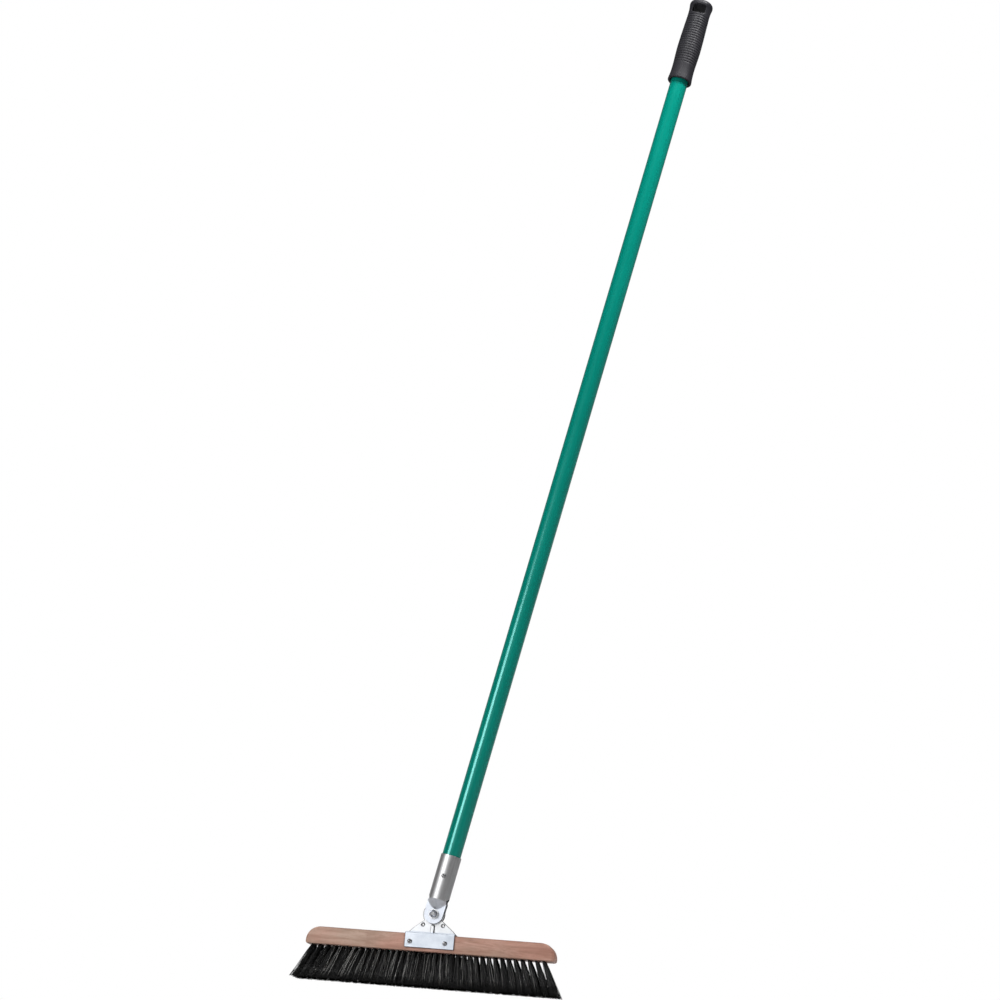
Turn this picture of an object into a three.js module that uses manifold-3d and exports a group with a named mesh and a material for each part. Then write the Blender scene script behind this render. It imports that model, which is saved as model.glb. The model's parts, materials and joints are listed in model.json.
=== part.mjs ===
// A push broom with a swivelling handle, in millimetres, +Z up.
//
// The head lies along X with its bristle tips on the plane Z = 0, and the origin is the centre
// of that plane. The handle is built upright on its pivot and then leans towards +X.

import * as THREE from 'three';
import { mergeVertices } from 'three/addons/utils/BufferGeometryUtils.js';
import Module from 'manifold-3d';

const wasm = await Module();
wasm.setup();

// ---------------------------------------------------------------------------
// Driving dimensions
// ---------------------------------------------------------------------------

const GAP = 0.3;                       // clearance between pieces that touch

const BLOCK_LENGTH = 345;
const BLOCK_DEPTH = 32;
const BLOCK_HEIGHT = 23.5;
const BLOCK_SHOULDER = 19;             // radius of the upper corners, seen from the front
const BLOCK_HEEL = 3;                  // radius of the lower corners
const BLOCK_END_ROUND = 5;             // radius of the ends, seen from above

const BRISTLE_HEIGHT = 46;             // from the tips to the underside of the block
const TUFTS_PER_ROW = 38;
const TUFT_RADIUS = 2;                 // at the underside of the block
const TUFT_GROWTH = 0.03;              // of that radius, for each mm down
const TUFT_SIDES = 5;
const TUFT_HOLE_DEPTH = 9;
const ROW_SPACING = 8.5;
const ROW_SPREAD = 19.4;               // spacing of the rows at the tips
const ROOT_SPAN = 319;                 // between the first and the last tuft, at the block
const FAN_SHIFT = -2.5;                // of the bristles from the middle of the block
const PITCH_EASE = 0.81;               // centre pitch of the tufts over their mean pitch
const END_LEAN = THREE.MathUtils.degToRad(26);
const TUFT_MERGE_Z = 35;               // below this height the tufts of a row are one mass
const TIP_SPAN = 367;

const PIVOT_ABOVE_BLOCK = 29;
const PLATE_SHEET = 2;
const PLATE_WIDTH = 68.6;
const FLANGE_DROP = 19.2;              // of the flange below the top of the block
const PLATE_BEND = 3;                  // outer radius of the bends
const PLATE_EAR_RADIUS = 15.2;
const BEAD_WIDTH = 4.6;
const BEAD_HEIGHT = 1.1;
const BEAD_TOP = -14.2;                // from the pivot
const RIVET = { x: 13.9, z: -14.8, shank: 2, bore: 1.4, head: 3, rise: 0.7 };

const SCREW = { head: 3.15, rise: 1.9, shank: 1.75, length: 13, below: 11 };
const SCREW_X = [-26.8, 21.6];         // on the front flange; the back one is turned round

const HANDLE_TILT = THREE.MathUtils.degToRad(11.2);
const TUBE_RADIUS = 13;
const TUBE_WALL = 0.6;
const TUBE_START = 28;                 // distances along the handle are from the pivot
const TUBE_END = 1397;

const SOCKET_SHEET = 1.1;
const EAR_SHEET = 3.4;                 // the ears are folded double and pressed flat
const SOCKET_TOP = 82.3;
const SOCKET_SLOT_TOP = 24.5;
const SOCKET_CREASE = 20;              // where the pinch towards the ears begins
const SOCKET_FLAT = 7;                 // where the pinch ends, on the centre line
const FORK_EAR_RADIUS = 13.2;
const TONGUE_SHOULDER = 16;            // above this the tongues narrow to their neck
const TONGUE_NECK = 12;                // half width at the crease, before the notch's V
const FORK_SIDES = 32;                 // facets of the round part
const TONGUE_FACETS = 14;              // of which each tongue keeps this many at its root
const FLATTENED_FACETS = 10;           // and this many reach the ear
const PINCH_STEPS = 6;
const SOCKET_SCREW = { along: 52.7, head: 2.9, rise: 1.7, shank: 1.9, length: 9 };

const BOLT_RADIUS = 3;
const BOLT_AF = 10;                    // across the flats of the bolt head and the nut
const BOLT_HEAD = 4;
const NUT_HEIGHT = 3.2;
const BOLT_END = 0.7;                  // of the bolt beyond the nut
const WASHER = { radius: 7, thickness: 1 };

const GRIP_START = 1289;
const GRIP_BORE_END = 1400;
const GRIP_RIBS = { first: 36, count: 19, pitch: 4, halfWidth: 1, depth: 0.4 };
const HANG_SLOT = { width: 19.8, height: 12.4, bottom: 1402, corner: 2.5 };

// Derived levels and distances
const BLOCK_TOP = BRISTLE_HEIGHT + BLOCK_HEIGHT;
const PIVOT_Z = BLOCK_TOP + PIVOT_ABOVE_BLOCK;
const SHELF_TOP = BLOCK_TOP + GAP + PLATE_SHEET;
const FLANGE_FACE = BLOCK_DEPTH / 2 + GAP + PLATE_SHEET;
const PLATE_FACE = GAP / 2 + PLATE_SHEET;
const BOLT_CLEARANCE = BOLT_RADIUS + GAP;
const SOCKET_INNER = TUBE_RADIUS + GAP;
const SOCKET_OUTER = SOCKET_INNER + SOCKET_SHEET;
const FORK_EAR_INNER = PLATE_FACE + GAP;
const FORK_EAR_FACE = FORK_EAR_INNER + EAR_SHEET;

// ---------------------------------------------------------------------------
// Materials
// ---------------------------------------------------------------------------

function material(color, roughness, metalness) {
  return new THREE.MeshStandardMaterial({ color, roughness, metalness });
}

const beech = material(0xb98c7a, 0.6, 0);
const blackFibre = material(0x1b1b1d, 0.75, 0);
const zincPlate = material(0xd4d9df, 0.35, 0.9);
const drawnSteel = material(0x9a9b9c, 0.4, 0.9);
const brightSteel = material(0xc4c8cc, 0.2, 1);
const greenCoat = material(0x008272, 0.25, 0);
const blackGrip = material(0x2d2c30, 0.55, 0);

// ---------------------------------------------------------------------------
// Solids: geometry to manifold and back
// ---------------------------------------------------------------------------

function solid(geometry) {
  const bare = geometry.clone();
  bare.deleteAttribute('normal');
  bare.deleteAttribute('uv');
  const merged = mergeVertices(bare, 1e-4);
  const mesh = new wasm.Mesh({
    numProp: 3,
    vertProperties: new Float32Array(merged.attributes.position.array),
    triVerts: new Uint32Array(merged.index.array),
  });
  return new wasm.Manifold(mesh);
}

function geometryOf(manifold) {
  const mesh = manifold.getMesh();
  const geometry = new THREE.BufferGeometry();
  geometry.setAttribute('position', new THREE.BufferAttribute(mesh.vertProperties, 3));
  geometry.setIndex(new THREE.BufferAttribute(mesh.triVerts, 1));
  return geometry;
}

function piece(name, shape, surface) {
  const geometry = shape.isBufferGeometry ? shape : geometryOf(shape);
  const mesh = new THREE.Mesh(geometry, surface);
  mesh.name = name;
  return mesh;
}

// A box given by its lowest and highest corners
function boxBetween(low, high) {
  const size = high.map((value, axis) => value - low[axis]);
  const middle = high.map((value, axis) => (value + low[axis]) / 2);
  return new THREE.BoxGeometry(...size).translate(...middle);
}

// An outline in X and Z, extruded from low to high along Y
function extrudeAlongY(shape, low, high, curveSegments = 8) {
  const options = { depth: high - low, bevelEnabled: false, curveSegments };
  return new THREE.ExtrudeGeometry(shape, options).rotateX(Math.PI / 2).translate(0, high, 0);
}

// A profile of [radius, y] pairs turned about the Y axis
function turnedAboutY(profile, segments) {
  const points = profile.map(([radius, y]) => new THREE.Vector2(radius, y));
  return new THREE.LatheGeometry(points, segments);
}

// A round rod along Y
function rodAlongY(radius, low, high, segments = 16) {
  return new THREE.CylinderGeometry(radius, radius, high - low, segments)
    .translate(0, (low + high) / 2, 0);
}

function roundedRectangle(width, height, radius) {
  const x = width / 2;
  const z = height / 2;
  const shape = new THREE.Shape();
  shape.absarc(x - radius, z - radius, radius, 0, Math.PI / 2);
  shape.absarc(radius - x, z - radius, radius, Math.PI / 2, Math.PI);
  shape.absarc(radius - x, radius - z, radius, Math.PI, 1.5 * Math.PI);
  shape.absarc(x - radius, radius - z, radius, 1.5 * Math.PI, 2 * Math.PI);
  return shape;
}

// ---------------------------------------------------------------------------
// Tufts: where each one starts, and how it leans
// ---------------------------------------------------------------------------

// Position along the row, -1 to 1, of tuft number index
function tuftStation(index) {
  return (2 * index) / (TUFTS_PER_ROW - 1) - 1;
}

// Root on the underside of the block, and the slope of the tuft in X and Y for each mm down
function tuftPlace(row, index) {
  const u = tuftStation(index);
  const eased = PITCH_EASE * u + (1 - PITCH_EASE) * u * Math.abs(u);
  return {
    x: FAN_SHIFT + (ROOT_SPAN / 2) * eased,
    y: row * ROW_SPACING,
    slopeX: Math.tan(END_LEAN * u),
    slopeY: (row * (ROW_SPREAD - ROW_SPACING)) / BRISTLE_HEIGHT,
  };
}

function tuftRadius(height) {
  return TUFT_RADIUS + TUFT_GROWTH * (BRISTLE_HEIGHT - height);
}

// A cone with level ends that follows a tuft from height high down to height low
function leaningCone(place, high, low, radiusHigh, radiusLow) {
  const cone = new THREE.CylinderGeometry(radiusHigh, radiusLow, high - low, TUFT_SIDES);
  cone.rotateX(Math.PI / 2).translate(0, 0, (high + low) / 2 - BRISTLE_HEIGHT);
  const shear = new THREE.Matrix4().set(
    1, 0, -place.slopeX, place.x,
    0, 1, -place.slopeY, place.y,
    0, 0, 1, BRISTLE_HEIGHT,
    0, 0, 0, 1,
  );
  return cone.applyMatrix4(shear);
}

// The merged mass of one row: a box whose corners open out towards the tips
function rowMass(row) {
  const rootHalfLength = ROOT_SPAN / 2 + TUFT_RADIUS;
  const tipHalfThickness = (ROW_SPREAD - GAP) / 2;
  const geometry = new THREE.BoxGeometry(2, 2, TUFT_MERGE_Z).translate(0, 0, TUFT_MERGE_Z / 2);
  const position = geometry.attributes.position;
  for (let i = 0; i < position.count; i += 1) {
    const fall = (BRISTLE_HEIGHT - position.getZ(i)) / BRISTLE_HEIGHT;
    const halfLength = THREE.MathUtils.lerp(rootHalfLength, TIP_SPAN / 2, fall);
    const centre = row * THREE.MathUtils.lerp(ROW_SPACING, ROW_SPREAD, fall);
    const halfThickness = THREE.MathUtils.lerp(TUFT_RADIUS, tipHalfThickness, fall);
    position.setX(i, FAN_SHIFT + position.getX(i) * halfLength);
    position.setY(i, centre + position.getY(i) * halfThickness);
  }
  return geometry;
}

function bristleRow(row) {
  let body = solid(rowMass(row));
  const top = BRISTLE_HEIGHT + TUFT_HOLE_DEPTH - GAP;
  const foot = TUFT_MERGE_Z - 1;
  for (let index = 0; index < TUFTS_PER_ROW; index += 1) {
    const cone = leaningCone(tuftPlace(row, index), top, foot, tuftRadius(top), tuftRadius(foot));
    body = body.add(solid(cone));
  }
  return body;
}

// ---------------------------------------------------------------------------
// Brush block
// ---------------------------------------------------------------------------

function blockFront() {
  const x = BLOCK_LENGTH / 2;
  const shape = new THREE.Shape();
  shape.moveTo(BLOCK_HEEL - x, BRISTLE_HEIGHT);
  shape.absarc(x - BLOCK_HEEL, BRISTLE_HEIGHT + BLOCK_HEEL, BLOCK_HEEL, -Math.PI / 2, 0);
  shape.absarc(x - BLOCK_SHOULDER, BLOCK_TOP - BLOCK_SHOULDER, BLOCK_SHOULDER, 0, Math.PI / 2);
  shape.absarc(BLOCK_SHOULDER - x, BLOCK_TOP - BLOCK_SHOULDER, BLOCK_SHOULDER, Math.PI / 2, Math.PI);
  shape.absarc(BLOCK_HEEL - x, BRISTLE_HEIGHT + BLOCK_HEEL, BLOCK_HEEL, Math.PI, 1.5 * Math.PI);
  return shape;
}

function brushBlock() {
  const front = extrudeAlongY(blockFront(), -BLOCK_DEPTH, BLOCK_DEPTH, 6);
  const plan = roundedRectangle(BLOCK_LENGTH, BLOCK_DEPTH, BLOCK_END_ROUND);
  const above = new THREE.ExtrudeGeometry(plan, {
    depth: 2 * BLOCK_TOP,
    bevelEnabled: false,
    curveSegments: 3,
  });
  let body = solid(front).intersect(solid(above));
  const holeTop = BRISTLE_HEIGHT + TUFT_HOLE_DEPTH;
  const holeRadius = TUFT_RADIUS + GAP;
  for (const row of [-1, 0, 1]) {
    for (let index = 0; index < TUFTS_PER_ROW; index += 1) {
      const place = tuftPlace(row, index);
      const hole = leaningCone(place, holeTop, BRISTLE_HEIGHT - 2, holeRadius, holeRadius);
      body = body.subtract(solid(hole));
    }
  }
  for (const side of [-1, 1]) {
    for (const x of SCREW_X) {
      const depth = SCREW.length + GAP;
      const pilot = rodAlongY(SCREW.shank + GAP, -BLOCK_DEPTH, depth - FLANGE_FACE, 12);
      const turned = side < 0 ? pilot : pilot.rotateZ(Math.PI);
      turned.translate(-side * x, 0, BLOCK_TOP - SCREW.below);
      body = body.subtract(solid(turned));
    }
  }
  return body;
}

// ---------------------------------------------------------------------------
// Bracket: two equal plates, bent in a Z and set back to back
// ---------------------------------------------------------------------------

// The bent sheet seen from its end: flange, shelf and upright, as [y, z] for the front plate
function plateSection() {
  const inner = PLATE_BEND - PLATE_SHEET;
  const flangeY = -FLANGE_FACE + PLATE_BEND;
  const bendZ = SHELF_TOP - PLATE_BEND;
  const uprightY = -PLATE_FACE - inner;
  const footZ = SHELF_TOP + inner;
  const top = PIVOT_Z + PLATE_EAR_RADIUS + 1;
  const shape = new THREE.Shape();
  shape.moveTo(-FLANGE_FACE, BLOCK_TOP - FLANGE_DROP);
  shape.lineTo(PLATE_SHEET - FLANGE_FACE, BLOCK_TOP - FLANGE_DROP);
  shape.absarc(flangeY, bendZ, inner, Math.PI, Math.PI / 2, true);
  shape.absarc(uprightY, footZ, PLATE_BEND, -Math.PI / 2, 0);
  shape.lineTo(PLATE_SHEET - PLATE_FACE, top);
  shape.lineTo(-PLATE_FACE, top);
  shape.absarc(uprightY, footZ, inner, 0, -Math.PI / 2, true);
  shape.absarc(flangeY, bendZ, PLATE_BEND, Math.PI / 2, Math.PI);
  return shape;
}

// The front view of a plate: round ear, straight flanks and the full width of the flange
function plateOutline() {
  const half = PLATE_WIDTH / 2;
  const shelf = SHELF_TOP - PIVOT_Z;
  const shoulder = { x: 28.6, z: -21.4 };
  const neckAngle = THREE.MathUtils.degToRad(-34);
  const neck = {
    x: PLATE_EAR_RADIUS * Math.cos(neckAngle),
    z: PLATE_EAR_RADIUS * Math.sin(neckAngle),
  };
  const shape = new THREE.Shape();
  shape.moveTo(-half, -BLOCK_TOP);
  shape.lineTo(half, -BLOCK_TOP);
  shape.lineTo(half, shelf + 0.2);
  shape.quadraticCurveTo(half - 2, shelf + 0.8, shoulder.x, shoulder.z);
  shape.lineTo(neck.x, neck.z);
  shape.absarc(0, 0, PLATE_EAR_RADIUS, neckAngle, Math.PI - neckAngle);
  shape.lineTo(-shoulder.x, shoulder.z);
  shape.quadraticCurveTo(2 - half, shelf + 0.8, -half, shelf + 0.2);
  return shape;
}

// A half-round stiffening bead pressed out of the upright, from the shelf to below the ear
function plateBead() {
  const low = SHELF_TOP + 0.4;
  const high = PIVOT_Z + BEAD_TOP;
  const bead = new THREE.CylinderGeometry(BEAD_WIDTH / 2, BEAD_WIDTH / 2, high - low, 12);
  return bead
    .rotateX(Math.PI / 2)
    .scale(1, BEAD_HEIGHT / (BEAD_WIDTH / 2), 1)
    .translate(0, -PLATE_FACE, (low + high) / 2);
}

function bracketPlate(name, side) {
  const section = new THREE.ExtrudeGeometry(plateSection(), {
    depth: PLATE_WIDTH,
    bevelEnabled: false,
    curveSegments: 4,
  });
  // turn the end view, drawn in X and Y, into Y and Z, with the width along X
  section.applyMatrix4(new THREE.Matrix4().set(
    0, 0, 1, -PLATE_WIDTH / 2,
    1, 0, 0, 0,
    0, 1, 0, 0,
    0, 0, 0, 1,
  ));
  const outline = extrudeAlongY(plateOutline(), -BLOCK_DEPTH, BLOCK_DEPTH, 14)
    .translate(0, 0, PIVOT_Z);
  let body = solid(section).intersect(solid(outline));
  const beadCut = boxBetween([-10, -PLATE_FACE - 5, 0], [10, 0.5 - PLATE_FACE, PIVOT_Z]);
  body = body.add(solid(plateBead()).intersect(solid(beadCut)));
  body = body.subtract(solid(rodAlongY(BOLT_CLEARANCE, -9, 9).translate(0, 0, PIVOT_Z)));
  for (const x of [-RIVET.x, RIVET.x]) {
    const hole = rodAlongY(RIVET.shank + GAP, -9, 9, 12).translate(x, 0, PIVOT_Z + RIVET.z);
    body = body.subtract(solid(hole));
  }
  for (const x of SCREW_X) {
    const hole = rodAlongY(SCREW.shank + GAP, -BLOCK_DEPTH, -BLOCK_DEPTH / 2, 12);
    body = body.subtract(solid(hole.translate(x, 0, BLOCK_TOP - SCREW.below)));
  }
  const plate = piece(name, body, zincPlate);
  plate.rotation.z = side < 0 ? 0 : Math.PI;
  return plate;
}

// A hollow rivet through both plates, with a rolled head on each side
function rivet(name, x) {
  const under = PLATE_FACE + GAP;
  const top = under + RIVET.rise;
  const profile = [
    [RIVET.bore, -top],
    [RIVET.head - 0.5, -top],
    [RIVET.head, 0.3 - top],
    [RIVET.head, -under],
    [RIVET.shank, -under],
    [RIVET.shank, under],
    [RIVET.head, under],
    [RIVET.head, top - 0.3],
    [RIVET.head - 0.5, top],
    [RIVET.bore, top],
    [RIVET.bore, -top],
  ];
  const shape = turnedAboutY(profile, 14).translate(x, 0, PIVOT_Z + RIVET.z);
  return piece(name, shape, drawnSteel);
}

// ---------------------------------------------------------------------------
// Screws with a domed head and a cross recess; the head is at -Y, its seat at Y = 0
// ---------------------------------------------------------------------------

function crossScrew(head, rise, shank, length) {
  const profile = [
    [0, -rise],
    [head * 0.55, -rise * 0.93],
    [head * 0.85, -rise * 0.65],
    [head, -rise * 0.2],
    [head, 0],
    [shank, 0],
    [shank, length - 2 * shank],
    [0, length],
  ];
  let body = solid(turnedAboutY(profile, 12));
  const arm = head * 0.62;
  const web = head * 0.13;
  for (const angle of [0, Math.PI / 2]) {
    const slot = boxBetween([-arm, -rise - 1, -web], [arm, -rise * 0.4, web]);
    body = body.subtract(solid(slot.rotateY(Math.PI / 4 + angle)));
  }
  return body;
}

function woodScrew(name, side, x) {
  const shape = crossScrew(SCREW.head, SCREW.rise, SCREW.shank, SCREW.length);
  const screw = piece(name, shape, brightSteel);
  screw.rotation.z = side < 0 ? 0 : Math.PI;
  screw.position.set(-side * x, side * (FLANGE_FACE + GAP), BLOCK_TOP - SCREW.below);
  return screw;
}

// ---------------------------------------------------------------------------
// Pivot: bolt from the back, washers outside the fork, nut in front
// ---------------------------------------------------------------------------

const WASHER_SEAT = FORK_EAR_FACE + GAP;
const NUT_SEAT = WASHER_SEAT + WASHER.thickness + GAP;

function hexPrism(low, high) {
  const corner = BOLT_AF / Math.sqrt(3);
  const half = high - low;
  return new THREE.CylinderGeometry(corner, corner, half, 6).translate(0, (low + high) / 2, 0);
}

function pivotBolt() {
  const tip = NUT_SEAT + NUT_HEIGHT + BOLT_END;
  const head = hexPrism(NUT_SEAT, NUT_SEAT + BOLT_HEAD);
  const shank = turnedAboutY([
    [0, -tip],
    [BOLT_RADIUS - 0.7, -tip],
    [BOLT_RADIUS, 0.7 - tip],
    [BOLT_RADIUS, NUT_SEAT + 1],
    [0, NUT_SEAT + 1],
  ], 16);
  return piece('pivot_bolt', solid(head).add(solid(shank)), brightSteel);
}

function pivotNut() {
  const prism = hexPrism(-NUT_SEAT - NUT_HEIGHT, -NUT_SEAT);
  const bore = rodAlongY(BOLT_CLEARANCE, -2 * NUT_SEAT - NUT_HEIGHT, 0);
  return piece('pivot_nut', solid(prism).subtract(solid(bore)), brightSteel);
}

function pivotWasher(name, side) {
  const near = side * WASHER_SEAT;
  const far = side * (WASHER_SEAT + WASHER.thickness);
  const low = Math.min(near, far);
  const high = Math.max(near, far);
  const disc = rodAlongY(WASHER.radius, low, high, 20);
  const bore = rodAlongY(BOLT_CLEARANCE, low - 1, high + 1);
  return piece(name, solid(disc).subtract(solid(bore)), zincPlate);
}

// ---------------------------------------------------------------------------
// Fork socket: a sheet-metal tube whose slotted lower end is pinched into two flat ears
// ---------------------------------------------------------------------------

const ROOT_ANGLE = (TONGUE_FACETS / FORK_SIDES) * Math.PI;
const EAR_ANGLE = (FLATTENED_FACETS / FORK_SIDES) * Math.PI;
const PINCH_SLOPE = (SOCKET_OUTER - FORK_EAR_FACE) / (SOCKET_CREASE - SOCKET_FLAT);

// A point on the front tongue's outer or inner face, at an angle round the tube and a
// distance along the handle; below the crease the arc slides inwards until it lies flat
function tonguePoint(angle, along, radius, flatDepth) {
  if (along >= SOCKET_CREASE) {
    return new THREE.Vector3(radius * Math.sin(angle), -radius * Math.cos(angle), along);
  }
  const held = THREE.MathUtils.clamp(angle, -EAR_ANGLE, EAR_ANGLE);
  const middleRadius = (SOCKET_INNER + SOCKET_OUTER) / 2;
  const arcDepth = radius * Math.cos(held);
  const travel = (SOCKET_CREASE - along) * PINCH_SLOPE;
  const flattening = Math.min(1, travel / (arcDepth - flatDepth));
  const x = THREE.MathUtils.lerp(radius * Math.sin(held), middleRadius * held, flattening);
  const depth = Math.max(flatDepth, arcDepth - travel);
  return new THREE.Vector3(x + middleRadius * (angle - held), -depth, along);
}

function forkTongue() {
  const stations = [-FORK_EAR_RADIUS - 1, SOCKET_FLAT];
  const step = (SOCKET_CREASE - SOCKET_FLAT) / PINCH_STEPS;
  for (let index = 1; index < PINCH_STEPS; index += 1) {
    stations.push(SOCKET_FLAT + index * step);
  }
  stations.push(SOCKET_CREASE, SOCKET_SLOT_TOP + 1);
  const faces = [[SOCKET_OUTER, FORK_EAR_FACE], [SOCKET_INNER, FORK_EAR_INNER]];
  const columns = TONGUE_FACETS + 1;
  const positions = [];
  for (const [radius, flatDepth] of faces) {
    for (const along of stations) {
      for (let column = 0; column < columns; column += 1) {
        const angle = ROOT_ANGLE * ((2 * column) / TONGUE_FACETS - 1);
        positions.push(...tonguePoint(angle, along, radius, flatDepth).toArray());
      }
    }
  }
  const rows = stations.length;
  const at = (face, row, column) => (face * rows + row) * columns + column;
  const triangles = [];
  const quad = (a, b, c, d) => triangles.push(a, b, c, a, c, d);
  for (let row = 0; row + 1 < rows; row += 1) {
    for (let column = 0; column + 1 < columns; column += 1) {
      quad(at(0, row, column), at(0, row, column + 1), at(0, row + 1, column + 1), at(0, row + 1, column));
      quad(at(1, row, column), at(1, row + 1, column), at(1, row + 1, column + 1), at(1, row, column + 1));
    }
    quad(at(0, row, 0), at(0, row + 1, 0), at(1, row + 1, 0), at(1, row, 0));
    const last = columns - 1;
    quad(at(0, row, last), at(1, row, last), at(1, row + 1, last), at(0, row + 1, last));
  }
  for (let column = 0; column + 1 < columns; column += 1) {
    quad(at(0, 0, column), at(1, 0, column), at(1, 0, column + 1), at(0, 0, column + 1));
    const top = rows - 1;
    quad(at(0, top, column), at(0, top, column + 1), at(1, top, column + 1), at(1, top, column));
  }
  const geometry = new THREE.BufferGeometry();
  geometry.setAttribute('position', new THREE.Float32BufferAttribute(positions, 3));
  geometry.setIndex(triangles);
  return geometry;
}

// The front view of the fork: round ears below, a narrow neck, and a V notch on each side
function forkOutline() {
  const shape = new THREE.Shape();
  shape.absarc(0, 0, FORK_EAR_RADIUS, Math.PI, 2 * Math.PI);
  shape.lineTo(FORK_EAR_RADIUS, TONGUE_SHOULDER);
  shape.lineTo(TONGUE_NECK, SOCKET_CREASE);
  shape.lineTo(SOCKET_OUTER + 1, SOCKET_SLOT_TOP);
  shape.lineTo(SOCKET_OUTER + 1, SOCKET_TOP + 1);
  shape.lineTo(-SOCKET_OUTER - 1, SOCKET_TOP + 1);
  shape.lineTo(-SOCKET_OUTER - 1, SOCKET_SLOT_TOP);
  shape.lineTo(-TONGUE_NECK, SOCKET_CREASE);
  shape.lineTo(-FORK_EAR_RADIUS, TONGUE_SHOULDER);
  return shape;
}

function forkSocket() {
  const ring = turnedAboutY([
    [SOCKET_INNER, SOCKET_SLOT_TOP],
    [SOCKET_OUTER, SOCKET_SLOT_TOP],
    [SOCKET_OUTER, SOCKET_TOP],
    [SOCKET_INNER, SOCKET_TOP],
    [SOCKET_INNER, SOCKET_SLOT_TOP],
  ], FORK_SIDES).rotateX(Math.PI / 2);
  const front = forkTongue();
  const back = forkTongue().rotateZ(Math.PI);
  let body = solid(ring).add(solid(front)).add(solid(back));
  body = body.intersect(solid(extrudeAlongY(forkOutline(), -BLOCK_DEPTH, BLOCK_DEPTH, 16)));
  body = body.subtract(solid(rodAlongY(BOLT_CLEARANCE, -BLOCK_DEPTH, BLOCK_DEPTH)));
  const pilot = rodAlongY(SOCKET_SCREW.shank + GAP, -BLOCK_DEPTH, 0, 12);
  body = body.subtract(solid(pilot.translate(0, 0, SOCKET_SCREW.along)));
  return piece('fork_socket', body, drawnSteel);
}

function socketScrew() {
  const { head, rise, shank, length, along } = SOCKET_SCREW;
  const screw = piece('socket_screw', crossScrew(head, rise, shank, length), brightSteel);
  screw.position.set(0, -SOCKET_OUTER - GAP, along);
  return screw;
}

// ---------------------------------------------------------------------------
// Handle tube and grip
// ---------------------------------------------------------------------------

function handleTube() {
  const inner = TUBE_RADIUS - TUBE_WALL;
  const tube = turnedAboutY([
    [inner, TUBE_START],
    [TUBE_RADIUS, TUBE_START],
    [TUBE_RADIUS, TUBE_END],
    [inner, TUBE_END],
    [inner, TUBE_START],
  ], 32).rotateX(Math.PI / 2);
  const pilot = rodAlongY(SOCKET_SCREW.shank + GAP, -BLOCK_DEPTH, 0, 12);
  const body = solid(tube).subtract(solid(pilot.translate(0, 0, SOCKET_SCREW.along)));
  return piece('handle_tube', body, greenCoat);
}

// The grip's outline as [radius, height above its lower lip]
const GRIP_OUTLINE = [
  [17.8, 0],
  [18.2, 2],
  [17.4, 10],
  [16.95, 20],
  [17.3, 34],
  [18, 54],
  [17.6, 78],
  [16.8, 102],
  [16.4, 115],
  [16.8, 123],
  [17.7, 128.5],
  [17.3, 132],
  [14, 135.5],
  [7, 137.3],
  [0, 137.8],
];

// Radius of the outline at a height, between its listed points
function gripRadius(height) {
  const next = GRIP_OUTLINE.findIndex(([, level]) => level > height);
  const [lowRadius, low] = GRIP_OUTLINE[next - 1];
  const [highRadius, high] = GRIP_OUTLINE[next];
  return THREE.MathUtils.lerp(lowRadius, highRadius, (height - low) / (high - low));
}

// The outline with the grooves between the ribs cut into it
function ribbedOutline() {
  const { first, count, pitch, halfWidth, depth } = GRIP_RIBS;
  const points = [...GRIP_OUTLINE];
  for (let index = 0; index < count; index += 1) {
    const middle = first + index * pitch;
    points.push([gripRadius(middle - halfWidth), middle - halfWidth]);
    points.push([gripRadius(middle) - depth, middle]);
    points.push([gripRadius(middle + halfWidth), middle + halfWidth]);
  }
  return points.sort((a, b) => a[1] - b[1]);
}

function handGrip() {
  const bore = TUBE_RADIUS + GAP;
  const boreDepth = GRIP_BORE_END - GRIP_START;
  const profile = [[0, boreDepth], [bore, boreDepth], [bore, 5], [bore + 2, 0], ...ribbedOutline()];
  const lathe = turnedAboutY(profile, 24).rotateX(Math.PI / 2).translate(0, 0, GRIP_START);
  const { width, height, bottom, corner } = HANG_SLOT;
  const opening = extrudeAlongY(roundedRectangle(width, height, corner), -BLOCK_DEPTH, BLOCK_DEPTH, 3);
  opening.translate(0, 0, bottom + height / 2);
  return piece('hand_grip', solid(lathe).subtract(solid(opening)), blackGrip);
}

// ---------------------------------------------------------------------------
// Assembly
// ---------------------------------------------------------------------------

const group = new THREE.Group();
group.add(piece('brush_block', brushBlock(), beech));
group.add(piece('bristle_row_front', bristleRow(-1), blackFibre));
group.add(piece('bristle_row_middle', bristleRow(0), blackFibre));
group.add(piece('bristle_row_back', bristleRow(1), blackFibre));
group.add(bracketPlate('bracket_plate_front', -1));
group.add(bracketPlate('bracket_plate_back', 1));
group.add(rivet('rivet_left', -RIVET.x));
group.add(rivet('rivet_right', RIVET.x));
group.add(woodScrew('wood_screw_front_left', -1, SCREW_X[0]));
group.add(woodScrew('wood_screw_front_right', -1, SCREW_X[1]));
group.add(woodScrew('wood_screw_back_left', 1, SCREW_X[1]));
group.add(woodScrew('wood_screw_back_right', 1, SCREW_X[0]));

const pivot = new THREE.Group();
pivot.position.set(0, 0, PIVOT_Z);
pivot.add(pivotBolt());
pivot.add(pivotNut());
pivot.add(pivotWasher('washer_front', -1));
pivot.add(pivotWasher('washer_back', 1));
group.add(pivot);

const handle = new THREE.Group();
handle.position.set(0, 0, PIVOT_Z);
handle.rotation.y = HANDLE_TILT;
handle.add(forkSocket());
handle.add(socketScrew());
handle.add(handleTube());
handle.add(handGrip());
group.add(handle);

export default group;
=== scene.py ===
import json
import math

import bmesh
import bpy
import numpy as np
from mathutils import Matrix, Vector
from mathutils.geometry import tessellate_polygon


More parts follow.
